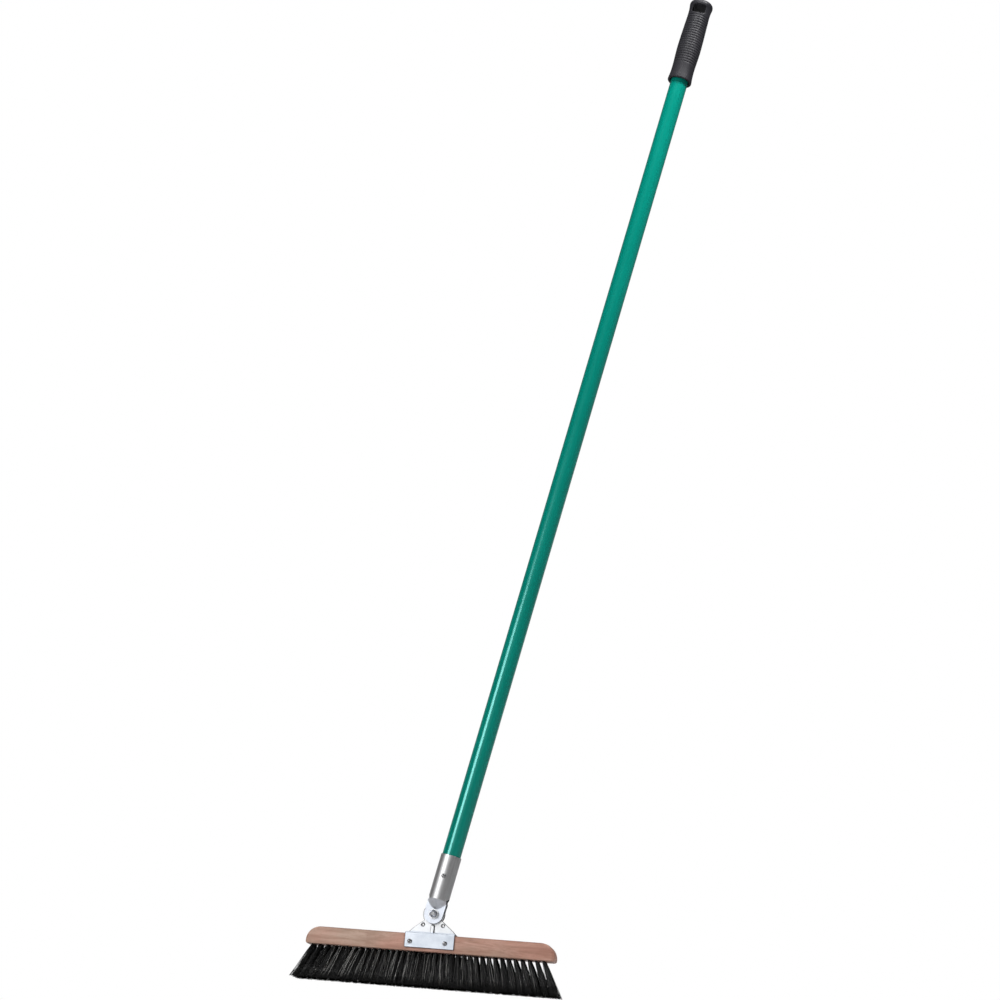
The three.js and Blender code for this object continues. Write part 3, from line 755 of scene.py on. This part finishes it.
def make_bristles(label, row):
    paths, tones = fibre_paths(row)
    count, stations, _ = paths.shape
    angles = np.arange(3) * 2 * math.pi / 3
    ring = np.stack([np.cos(angles), np.sin(angles), np.zeros(3)], axis=1)
    points = paths[:, :, None, :] + ring[None, None] * FIBRE_RADIUS
    first = np.arange(count)[:, None, None] * stations * 3
    level = np.arange(stations - 1)[None, :, None] * 3
    side = np.arange(3)[None, None, :]
    after = (side + 1) % 3
    quads = np.stack([first + level + side, first + level + 3 + side,
                      first + level + 3 + after, first + level + after], axis=-1)
    start = np.arange(count)[:, None] * stations * 3
    tips = start + (stations - 1) * 3 + np.array([0, 2, 1])
    roots = start + np.array([0, 1, 2])
    faces = quads.reshape(-1, 4).tolist() + tips.tolist() + roots.tolist()
    mesh = bpy.data.meshes.new("bristles_" + label)
    mesh.from_pydata((points.reshape(-1, 3) * MM).tolist(), [], faces)
    mesh.attributes.new("tone", "FLOAT", "POINT")
    mesh.attributes["tone"].data.foreach_set("value", np.repeat(tones, stations * 3))
    mesh.shade_smooth()
    obj = bpy.data.objects.new("bristles_" + label, mesh)
    SCENE.collection.objects.link(obj)
    settle(obj, ["bristle_row_" + label], "brush_head", BRISTLE)


# Bracket plates: a flat blank with rounded edges, bent in a Z

BEND_ARC = PLATE_BEND * math.pi / 2
BEND_LOW_Z = SHELF_TOP - HALF_SHEET - PLATE_BEND
SHELF_START_Y = -FLANGE_FACE + HALF_SHEET + PLATE_BEND
SHELF_END_Y = -PLATE_FACE + HALF_SHEET - PLATE_BEND
UPRIGHT_START_Z = SHELF_TOP - HALF_SHEET + PLATE_BEND
FLAT_1 = BEND_LOW_Z - FLANGE_FOOT            # lengths along the blank, from the flange's foot
FLAT_2 = FLAT_1 + BEND_ARC
FLAT_3 = FLAT_2 + SHELF_END_Y - SHELF_START_Y
FLAT_4 = FLAT_3 + BEND_ARC
BEAD_HALF = 3.1
BEAD_CREST = 1.6                # half the width of its flat top
BEAD_HEIGHT = 1.9
BEAD_BELOW_PIVOT = 14.2
BEAD_TOP = FLAT_4 + PIVOT.z - BEAD_BELOW_PIVOT - UPRIGHT_START_Z
FOOT_ROUND = 1.2                # of the lower corners of the flange
SLOPE_TOP_HALF = 28.6           # half the width where the curve turns into the straight slope
SLOPE_TOP_BELOW_PIVOT = 21.4


def bent(along, out):
    """(y, z) of a point of the blank: its length along, and its distance out of the middle."""
    if along <= FLAT_1:
        return -FLANGE_FACE + HALF_SHEET - out, FLANGE_FOOT + along
    if along <= FLAT_2:
        angle = math.pi - (along - FLAT_1) / PLATE_BEND
        radius = PLATE_BEND + out
        return SHELF_START_Y + radius * math.cos(angle), BEND_LOW_Z + radius * math.sin(angle)
    if along <= FLAT_3:
        return SHELF_START_Y + along - FLAT_2, SHELF_TOP - HALF_SHEET + out
    if along <= FLAT_4:
        angle = -math.pi / 2 + (along - FLAT_3) / PLATE_BEND
        radius = PLATE_BEND - out
        return SHELF_END_Y + radius * math.cos(angle), UPRIGHT_START_Z + radius * math.sin(angle)
    return -PLATE_FACE + HALF_SHEET - out, UPRIGHT_START_Z + along - FLAT_4


def plate_blank():
    """Outline and holes of the blank, in (x, length along)."""
    pivot = FLAT_4 + PIVOT.z - UPRIGHT_START_Z
    half = PLATE_HALF_WIDTH
    right = arc((half - FOOT_ROUND, FOOT_ROUND), FOOT_ROUND, -90, 0, 5)
    start = Vector((half, FLAT_4 - 0.8))
    pull = Vector((half - 2, FLAT_4 + 0.2))
    shoulder = Vector((SLOPE_TOP_HALF, pivot - SLOPE_TOP_BELOW_PIVOT))
    for step in range(9):
        share = step / 8
        point = start * (1 - share) ** 2 + pull * 2 * share * (1 - share) + shoulder * share ** 2
        right.append((point.x, point.y))
    right += arc((0, pivot), PLATE_EAR_RADIUS, -34, 90, 36)
    left = [(-x, y) for x, y in reversed(right[:-1])]
    holes = [circle(0, pivot, BOLT_HOLE, 32, True)]
    for node_name in ("rivet_left", "rivet_right"):
        spot = centre_mm(node_name)
        holes.append(circle(spot.x, pivot + spot.z - PIVOT.z, RIVET_HOLE, 24, True))
    for node_name in SCREWS[:2]:
        spot = centre_mm(node_name)
        holes.append(circle(spot.x, spot.z - FLANGE_FOOT, SCREW_HOLE, 24, True))
    return right + left, holes


def blank_cuts():
    """Lines across the blank, as (axis, place), where its triangles are divided."""
    cuts = []
    for start, end in ((FLAT_1, FLAT_2), (FLAT_3, FLAT_4)):
        cuts += [(1, start + (end - start) * step / 8) for step in range(9)]
    cuts += [(1, BEAD_TOP + offset) for offset in (-2.4, -1.8, -1.2, -0.6, 0, 0.6)]
    cuts += [(1, FLAT_4 + offset) for offset in (1.2, 2.4, 5, 8)]
    for offset in (0.7, BEAD_CREST, 1.8, 2.0, 2.2, 2.45, 2.7, 2.9, BEAD_HALF):
        cuts += [(0, offset), (0, -offset)]
    return cuts


def make_plate(side):
    label = "front" if side < 0 else "back"
    blank = new_piece("bracket_" + label, *flat_plate(*plate_blank(), HALF_SHEET, PLATE_ARRIS))
    work = bmesh.new()
    work.from_mesh(blank.data)
    edge_layer = work.faces.layers.float.new("edge")
    for face in work.faces:
        face[edge_layer] = float(abs(face.normal.z) < 0.98)
    for axis, place in blank_cuts():
        normal = Vector((0, 0, 0))
        normal[axis] = 1
        everything = work.verts[:] + work.edges[:] + work.faces[:]
        bmesh.ops.bisect_plane(work, geom=everything, dist=1e-8, plane_co=normal * place * MM,
                               plane_no=normal)
    for vertex in work.verts:
        x, along, out = vertex.co / MM
        height = 1 - smoothstep(BEAD_CREST, BEAD_HALF, abs(x))
        height *= smoothstep(FLAT_3, FLAT_3 + 0.6 * (FLAT_4 - FLAT_3), along)
        height *= 1 - smoothstep(BEAD_TOP - 2.2, BEAD_TOP + 0.4, along)
        y, z = bent(along, out + BEAD_HEIGHT * height)
        vertex.co = Vector((x, y, z)) * MM
    bmesh.ops.recalc_face_normals(work, faces=work.faces)
    work.to_mesh(blank.data)
    work.free()
    if side > 0:
        blank.data.transform(BACK_TO_FRONT)
    shade(blank, 30)
    settle(blank, ["bracket_plate_" + label], "brush_head", ZINC)


# Fasteners

def make_rivet(label):
    """A hollow rivet: a thin tube with a head rolled over on each side."""
    low, high = box_mm("rivet_" + label)
    reach = (high.y - low.y) / 2
    under = reach - RIVET_RISE
    roll = (RIVET_HEAD + RIVET_BORE) / 2
    half = (RIVET_HEAD - RIVET_BORE) / 2
    top = [(roll + half * x, under + RIVET_RISE * y) for x, y in arc((0, 0), 1, 0, 180, 12)]
    profile = [(RIVET_SHANK, under), *top]
    profile += [(r, -z) for r, z in reversed(profile)]
    obj = new_piece("rivet_" + label + "_hollow", *revolve(profile, 40, closed=True), ALONG_Y)
    obj.data.transform(Matrix.Translation((low + high) / 2 * MM))
    shade(obj, 40)
    settle(obj, ["rivet_" + label], "brush_head", SCREW_STEEL)


def cross_screw(name, head, rise, shank, length):
    """A pan-head screw with a cross recess, its seat at the origin and its head towards -Y."""
    dome = [(head * y, 0.28 * rise + 0.72 * rise * x) for x, y in arc((0, 0), 1, 0, 90, 12)]
    profile = [*dome, (head, 0.08 * rise), (head - 0.12, 0), (shank, 0)]
    for turn in range(int((length - 3) / SCREW_THREAD)):
        start = -0.8 - SCREW_THREAD * turn
        profile += [(shank - 0.45, start), (shank, start - 0.5), (shank - 0.45, start - 1.0)]
    profile += [(shank - 0.5, 2 * shank - length), (0, -length)]
    screw = new_piece(name, *revolve(profile, 40))
    for turn in (0, 90):
        rings = []
        for depth, reach, web in ((rise + 0.5, 0.66, 0.15), (rise * 0.3, 0.5, 0.12)):
            ring = rounded_rectangle(head * reach, head * web, head * web * 0.5, 3)
            turned = Matrix.Rotation(math.radians(45 + turn), 3, "Z")
            rings.append([turned @ Vector((x, y, depth)) for x, y in ring])
        combine(screw, new_piece("arm", *loft(rings[::-1])))
    soften(screw, 0.08, 50, 2)
    screw.data.transform(ALONG_Y)
    return screw


def make_wood_screw(node_name):
    low, high = box_mm(node_name)
    middle = (low + high) / 2
    screw = cross_screw(node_name + "_pan_head", SCREW_HEAD, SCREW_RISE, 1.75, 13)
    if middle.y > 0:
        screw.data.transform(BACK_TO_FRONT)
    seat = low.y + SCREW_RISE if middle.y < 0 else high.y - SCREW_RISE
    turn = Matrix.Rotation(math.radians(31 * SCREWS.index(node_name) + 8), 4, "Y")
    place = Matrix.Translation(Vector((middle.x, seat, middle.z)) * MM)
    screw.data.transform(place @ turn)
    shade(screw, 34)
    settle(screw, [node_name], "brush_head", SCREW_STEEL)


def hexagon(across_flats, low, high, turn):
    """A hexagonal prism along Z whose corners are turned off at both ends."""
    corner = across_flats / math.sqrt(3)
    ring = [(corner * math.cos(math.radians(60 * k + turn)),
             corner * math.sin(math.radians(60 * k + turn))) for k in range(6)]
    prism = new_piece("hexagon", *loft([[(x, y, z) for x, y in ring] for z in (low, high)]))
    chamfer = (corner - across_flats / 2) * 0.75
    flat = across_flats / 2 * 0.94
    wide = corner * 1.03
    profile = [(0, low), (flat, low), (wide, low + chamfer), (wide, high - chamfer), (flat, high),
               (0, high)]
    combine(prism, new_piece("cone", *revolve(profile, 64)), "INTERSECT")
    return prism


def thread(radius, depth, pitch, low, high, chamfer):
    """A threaded rod along Z: one grid of points that rises with the thread."""
    steps, columns = int((high - low) / pitch * 8), 48
    rings = []
    for step in range(steps + 1):
        z = low + (high - low) * step / steps
        ring = []
        for column in range(columns):
            phase = (z / pitch - column / columns) % 1.0
            groove = depth * abs(2 * phase - 1)
            end = max(0.0, chamfer - (high - z))
            reach = min(radius - groove, radius - end)
            angle = 2 * math.pi * column / columns
            ring.append((reach * math.cos(angle), reach * math.sin(angle), z))
        rings.append(ring)
    return loft(rings)


def make_pivot():
    """Bolt from the back, nut in front, and a flat washer outside each ear."""
    nut_low, nut_high = box_mm("pivot_nut")
    bolt_low, bolt_high = box_mm("pivot_bolt")
    nut = hexagon(NUT_FLATS, -nut_high.y, -nut_low.y, 17)
    combine(nut, new_piece("bore", *rod(3.02, -20, 20, 48)))
    soften(nut, 0.12, 28, 2)
    nut.data.transform(Matrix.Translation((0, 0, PIVOT.z * MM)) @ ALONG_Y)
    shade(nut, 26)
    nut.name = "nut"
    settle(nut, ["pivot_nut"], "brush_head", NUT_STEEL)

    under_head = -bolt_high.y + BOLT_HEAD_HEIGHT
    head = hexagon(NUT_FLATS, -bolt_high.y, under_head, 0)
    combine(head, new_piece("shank", *rod(2.98, under_head - 1, 4.6, 48)), "UNION")
    end = thread(2.95, 0.45, 1.0, 4.4, -bolt_low.y, 0.7)
    combine(head, new_piece("thread", *end), "UNION")
    head.data.transform(Matrix.Translation((0, 0, PIVOT.z * MM)) @ ALONG_Y)
    shade(head, 26)
    head.name = "bolt"
    settle(head, ["pivot_bolt"], "brush_head", BOLT_STEEL)

    for label in ("front", "back"):
        low, high = box_mm("washer_" + label)
        half = (high.y - low.y) / 2
        hole = circle(0, 0, BOLT_HOLE, 40, True)
        ring = flat_plate(circle(0, 0, WASHER_RADIUS, 64), [hole], half, 0.22)
        washer = new_piece("washer_" + label + "_ring", *ring, ALONG_Y)
        washer.data.transform(Matrix.Translation((low + high) / 2 * MM))
        shade(washer, 30)
        settle(washer, ["washer_" + label], "brush_head", ZINC)


# Fork socket: a rolled tube whose slotted lower end is pinched into two flat ears

def tongue_half_angle(kind, share):
    """Half the angle that a tongue spans: it narrows from the notch's point to the crease."""
    if kind != "tube":
        return EAR_ANGLE
    root = 2 * math.pi * TONGUE_COLUMNS / RING_COLUMNS
    wide = SOCKET_OUTER * math.sin(root)
    return math.asin((wide + (NECK_HALF - wide) * share) / SOCKET_OUTER)


def tongue_rows():
    """Rows of points of the front tongue below the slot's top, on its outer and inner surface."""
    rows = {SOCKET_OUTER: [], SOCKET_INNER: []}
    for radius, flat in ((SOCKET_OUTER, EAR_OUTER), (SOCKET_INNER, EAR_INNER)):
        stations = [("tube", share) for share in (0.12, 0.25, 0.4, 0.55, 0.7, 0.85, 1.0)]
        stations += [("slope", step / 12) for step in range(1, 13)]
        stations += [("flat", step / 8) for step in range(1, 9)]
        stations += [("end", step / 12) for step in range(1, 13)]
        for kind, share in stations:
            row = []
            for column in range(-TONGUE_COLUMNS, TONGUE_COLUMNS + 1):
                angle = tongue_half_angle(kind, share) * column / TONGUE_COLUMNS
                depth = radius * math.cos(angle)
                travel = depth - flat
                corner = CREASE - travel / PINCH_SLOPE
                wide = (SOCKET_INNER + SOCKET_OUTER) / 2 * angle
                turn = math.pi / 2 * column / TONGUE_COLUMNS
                if kind == "tube":
                    along = SLOT_TOP + (CREASE - SLOT_TOP) * share
                    row.append((radius * math.sin(angle), -depth, along))
                elif kind == "slope":
                    x = radius * math.sin(angle) * (1 - share) + wide * share
                    row.append((x, -depth + travel * share, CREASE + (corner - CREASE) * share))
                elif kind == "flat":
                    x = wide * (1 - share) + EAR_RADIUS * math.sin(turn) * share
                    row.append((x, -flat, corner * (1 - share)))
                else:
                    along = -share * EAR_RADIUS * math.cos(turn)
                    row.append((EAR_RADIUS * math.sin(turn), -flat, along))
            rows[radius].append(row)
    return rows


def mark_edges(obj, first):
    """Marks the faces from number first on as cut edges of the sheet."""
    values = np.zeros(len(obj.data.polygons), np.float32)
    values[first:] = 1
    obj.data.attributes.new("edge", "FLOAT", "FACE").data.foreach_set("value", values)


def make_socket():
    outer, inner, quads, rings = [], [], [], []
    for step in range(17):
        height = SOCKET_TOP - (SOCKET_TOP - SLOT_TOP) * step / 16
        rings.append(list(range(len(outer), len(outer) + RING_COLUMNS)))
        for column in range(RING_COLUMNS):
            angle = 2 * math.pi * column / RING_COLUMNS
            ring = (math.sin(angle), -math.cos(angle))
            outer.append((SOCKET_OUTER * ring[0], SOCKET_OUTER * ring[1], height))
            inner.append((SOCKET_INNER * ring[0], SOCKET_INNER * ring[1], height))
    for upper, lower in zip(rings, rings[1:]):
        for column in range(RING_COLUMNS):
            after = (column + 1) % RING_COLUMNS
            quads.append([lower[column], lower[after], upper[after], upper[column]])
    rows = tongue_rows()
    for side in (1, -1):
        middle = 0 if side > 0 else RING_COLUMNS // 2
        above = [rings[-1][(middle + column) % RING_COLUMNS]
                 for column in range(-TONGUE_COLUMNS, TONGUE_COLUMNS + 1)]
        for outer_row, inner_row in zip(rows[SOCKET_OUTER], rows[SOCKET_INNER]):
            below = list(range(len(outer), len(outer) + len(outer_row)))
            outer += [(side * x, side * y, z) for x, y, z in outer_row]
            inner += [(side * x, side * y, z) for x, y, z in inner_row]
            for index in range(len(below) - 1):
                quads.append([below[index], below[index + 1], above[index + 1], above[index]])
            above = below
    socket = new_piece("socket", *thickened(outer, inner, quads))
    mark_edges(socket, 2 * len(quads))
    soften(socket, 0.22, 24, 2)
    combine(socket, new_piece("bore", *rod(BOLT_HOLE, -30, 30, 48), ALONG_Y))
    hole = new_piece("hole", *rod(SOCKET_SCREW_HOLE, 0, 30, 32), ALONG_Y)
    hole.data.transform(Matrix.Translation((0, 0, SOCKET_SCREW_ALONG * MM)))
    combine(socket, hole)
    shade(socket, 18)
    settle(socket, ["fork_socket"], "handle", DRAWN, HANDLE)

    screw = cross_screw("socket_screw_pan_head", 2.9, 1.7, 1.9, 9)
    seat = Vector((0, -SOCKET_OUTER - 0.3, SOCKET_SCREW_ALONG)) * MM
    screw.data.transform(Matrix.Translation(seat))
    shade(screw, 34)
    settle(screw, ["socket_screw"], "handle", SCREW_STEEL, HANDLE)


# Handle tube and grip

def make_tube():
    inner = TUBE_RADIUS - TUBE_WALL
    start, end = TUBE_START + TUBE_ARRIS, TUBE_END - TUBE_ARRIS
    outside = [(TUBE_RADIUS - TUBE_ARRIS, TUBE_START)]
    outside += [(TUBE_RADIUS, start + (end - start) * step / 48) for step in range(49)]
    outside += [(TUBE_RADIUS - TUBE_ARRIS, TUBE_END), (inner, TUBE_END), (inner, TUBE_START)]
    tube = new_piece("tube", *revolve(outside, 128, closed=True))
    hole = new_piece("hole", *rod(SOCKET_SCREW_HOLE, 0, 30, 24), ALONG_Y)
    hole.data.transform(Matrix.Translation((0, 0, SOCKET_SCREW_ALONG * MM)))
    combine(tube, hole)
    shade(tube, 30)
    settle(tube, ["handle_tube"], "handle", GREEN, HANDLE)


GRIP_OUTLINE = [(17.55, 0), (17.9, 0.35), (18.15, 1.1), (18.2, 2), (18.0, 4), (17.6, 8), (17.4, 10),
                (17.1, 15), (16.95, 20), (17.05, 27), (17.3, 34), (17.75, 44), (18, 54),
                (17.95, 62), (17.75, 72), (17.6, 78), (17.2, 90), (16.8, 102), (16.45, 112),
                (16.45, 117), (16.65, 121), (16.95, 124), (17.4, 126.6), (17.7, 128.7)]
GRIP_TOP = [(17.578, 129.673), (17.4, 131.2), (16.7, 132.8), (15.5, 134.2), (14, 134.85),
            (10.5, 136.5), (7, 137.25), (3.5, 137.65), (0, 137.8)]
GROOVE_FIRST = 28
GROOVE_PITCH = 4
GROOVES = 21
GROOVE_HALF = 1.25
GROOVE_DEPTH = 0.42


def grip_radius(height):
    levels = [level for _, level in GRIP_OUTLINE]
    radii = [radius for radius, _ in GRIP_OUTLINE]
    return float(np.interp(height, levels, radii))


def grip_profile():
    """The lathe profile: smooth outline, round-bottomed grooves, domed top."""
    levels = set(np.round(np.linspace(0, 2, 9), 3)) | set(np.round(np.arange(2, 128.7, 1.6), 3))
    for index in range(GROOVES):
        middle = GROOVE_FIRST + GROOVE_PITCH * index
        levels = {z for z in levels if abs(z - middle) > GROOVE_HALF + 0.2}
        levels |= {round(middle + GROOVE_HALF * share, 3)
                   for share in (-1, -0.85, -0.6, -0.3, 0, 0.3, 0.6, 0.85, 1)}
    profile = []
    for height in sorted(levels):
        radius = grip_radius(height)
        index = round((height - GROOVE_FIRST) / GROOVE_PITCH)
        offset = (height - GROOVE_FIRST - index * GROOVE_PITCH) / GROOVE_HALF
        if 0 <= index < GROOVES and abs(offset) < 1:
            radius -= GROOVE_DEPTH * (1 - offset * offset)
        profile.append((radius, height))
    return profile + GRIP_TOP


def slot_cutter():
    """A cutter for the hanging slot that flares at the grip's surface, for a rounded edge."""
    outline = rounded_rectangle(SLOT_WIDTH / 2, SLOT_HEIGHT / 2, 2.5, 8)
    normals = outward_normals(outline)
    middle = SLOT_BOTTOM + SLOT_HEIGHT / 2
    rings = []
    steps = [(5.0, SLOT_ROUND), (0.0, SLOT_ROUND)]
    for turn in (15, 30, 45, 60, 75, 90):
        angle = math.radians(turn)
        steps.append((-SLOT_ROUND * (1 - math.cos(angle)), SLOT_ROUND * (1 - math.sin(angle))))
    for side in (-1, 1):
        ordered = steps if side < 0 else steps[::-1]
        for rise, flare in ordered:
            ring = []
            for point, normal in zip(outline, normals):
                moved = Vector(point) + normal * flare
                surface = grip_radius(min(middle + moved.y - GRIP_START, 128.6))
                depth = math.sqrt(max(1.0, surface ** 2 - moved.x ** 2)) + rise
                ring.append((moved.x, side * depth, middle + moved.y))
            rings.append(ring)
    return loft(rings)


def make_grip():
    bore = TUBE_RADIUS + 0.3
    depth = GRIP_BORE_END - GRIP_START
    inside = [(0, depth), (bore, depth), (bore, 5), (bore + 1.2, 1.4), (bore + 2.2, 0.25),
              (bore + 2.8, 0)]
    profile = [(r, GRIP_START + z) for r, z in inside + grip_profile()]
    grip = new_piece("grip", *revolve(profile, 112))
    combine(grip, new_piece("slot", *slot_cutter()))
    shade(grip, 34)
    settle(grip, ["hand_grip"], "handle", GRIP, HANDLE)


# Build

make_block()
for row_label, row_side in ROWS:
    make_bristles(row_label, row_side)
make_plate(-1)
make_plate(1)
make_rivet("left")
make_rivet("right")
for screw_node in SCREWS:
    make_wood_screw(screw_node)
make_pivot()
make_socket()
make_tube()
make_grip()


# Floor, world, lights and camera

def make_floor():
    """A pale floor that shows from above only, because the camera stands below its level."""
    vertices, faces = revolve([(0, 0), (2500, 0), (9000, 0)], 96)
    floor = new_piece("floor", vertices, faces)
    if floor.data.polygons[0].normal.z < 0:
        floor.data.flip_normals()
    material, tree, shader = new_material("pale_floor", Roughness=0.8, Specular_IOR_Level=0.2)
    clouds = noise(tree, (1.5, 1.5, 1.5), 3)
    colour = ramp(tree, clouds, [(0.3, paint(236, 236, 235)), (0.7, paint(242, 242, 241))])
    tree.links.new(colour, shader.inputs["Base Color"])
    output = tree.nodes["Material Output"]
    clear = node(tree, "ShaderNodeBsdfTransparent")
    back = node(tree, "ShaderNodeNewGeometry").outputs["Backfacing"]
    mix = tree.nodes.new("ShaderNodeMixShader")
    tree.links.new(back, mix.inputs[0])
    tree.links.new(shader.outputs[0], mix.inputs[1])
    tree.links.new(clear.outputs[0], mix.inputs[2])
    tree.links.new(mix.outputs[0], output.inputs["Surface"])
    floor.data.materials.append(material)


# brightness of the studio round the object, by compass angle from the front (right is positive)
STUDIO = [(-180, 0.3), (-155, 0.12), (-142, 0.16), (-136, 1.0), (-116, 1.0), (-106, 0.12),
          (-64, 0.12), (-45, 0.4), (-22, 0.75), (-4, 0.75), (8, 0.3), (20, 0.13), (70, 0.1),
          (100, 0.19), (128, 0.19), (148, 0.55), (180, 0.3)]


def make_world():
    world = bpy.data.worlds.new("studio")
    SCENE.world = world
    world.use_nodes = True
    tree = world.node_tree
    background = tree.nodes["Background"]
    direction = node(tree, "ShaderNodeTexCoord").outputs["Generated"]
    parts = node(tree, "ShaderNodeSeparateXYZ", Vector=direction)
    forward = calculated(tree, "MULTIPLY", parts.outputs["Y"], -1.0)
    angle = calculated(tree, "ARCTAN2", parts.outputs["X"], forward)
    share = calculated(tree, "ADD", calculated(tree, "DIVIDE", angle, 2 * math.pi), 0.5)
    round_about = ramp(tree, share, [((a + 180) / 360, value) for a, value in STUDIO])
    height = calculated(tree, "ADD", calculated(tree, "MULTIPLY", parts.outputs["Z"], 0.5), 0.5)
    dimmed = ramp(tree, height, [(0.57, 1.0), (0.62, 0.4), (0.68, 0.15), (0.8, 0.12)])
    around = mixed(tree, 1.0, round_about, dimmed, "MULTIPLY")
    overhead = ramp(tree, height, [(0.84, 0.0), (0.95, 1.0)])
    studio = mixed(tree, overhead, around, (0.85, 0.86, 0.88, 1))
    seen = node(tree, "ShaderNodeLightPath").outputs["Is Camera Ray"]
    colour = mixed(tree, seen, studio, (1, 1, 1, 1))
    tree.links.new(colour, background.inputs["Color"])
    background.inputs["Strength"].default_value = 1.0


def area_light(name, place, aim, size, energy, spread=180):
    light = bpy.data.lights.new(name, "AREA")
    light.shape = "RECTANGLE"
    light.size, light.size_y = size
    light.energy = energy
    light.spread = math.radians(spread)
    obj = bpy.data.objects.new(name, light)
    SCENE.collection.objects.link(obj)
    direction = Vector(aim) - Vector(place)
    obj.location = place
    obj.rotation_euler = direction.to_track_quat("-Z", "Y").to_euler()


LENS = 82.98
LOOK = Vector((-0.16408544, 0.94423655, 0.28547034))
UPWARD = Vector((-0.04320701, -0.29599452, 0.95421193))
CAMERA_FROM_PIVOT = Vector((0.58117, -3.13058, -0.35091))


def make_camera():
    data = bpy.data.cameras.new("camera")
    camera = bpy.data.objects.new("camera", data)
    SCENE.collection.objects.link(camera)
    data.lens = LENS
    data.sensor_width = 36
    right = LOOK.cross(UPWARD).normalized()
    placed = Matrix((right, UPWARD, -LOOK)).transposed().to_4x4()
    placed.translation = PIVOT * MM + CAMERA_FROM_PIVOT
    camera.matrix_world = placed
    SCENE.camera = camera


make_floor()
make_world()
area_light("key", (-1.15, -1.87, 0.88), (0.12, 0, 0.35), (1.0, 0.74), 22)
area_light("top", (0.3, -0.75, 2.35), (0.35, 0, 1.45), (0.5, 0.4), 2.4, 60)
area_light("side", (1.15, -0.65, 2.55), (0.35, 0, 1.5), (0.5, 0.5), 7.4, 74)
make_camera()
SCENE.view_settings.view_transform = "Standard"
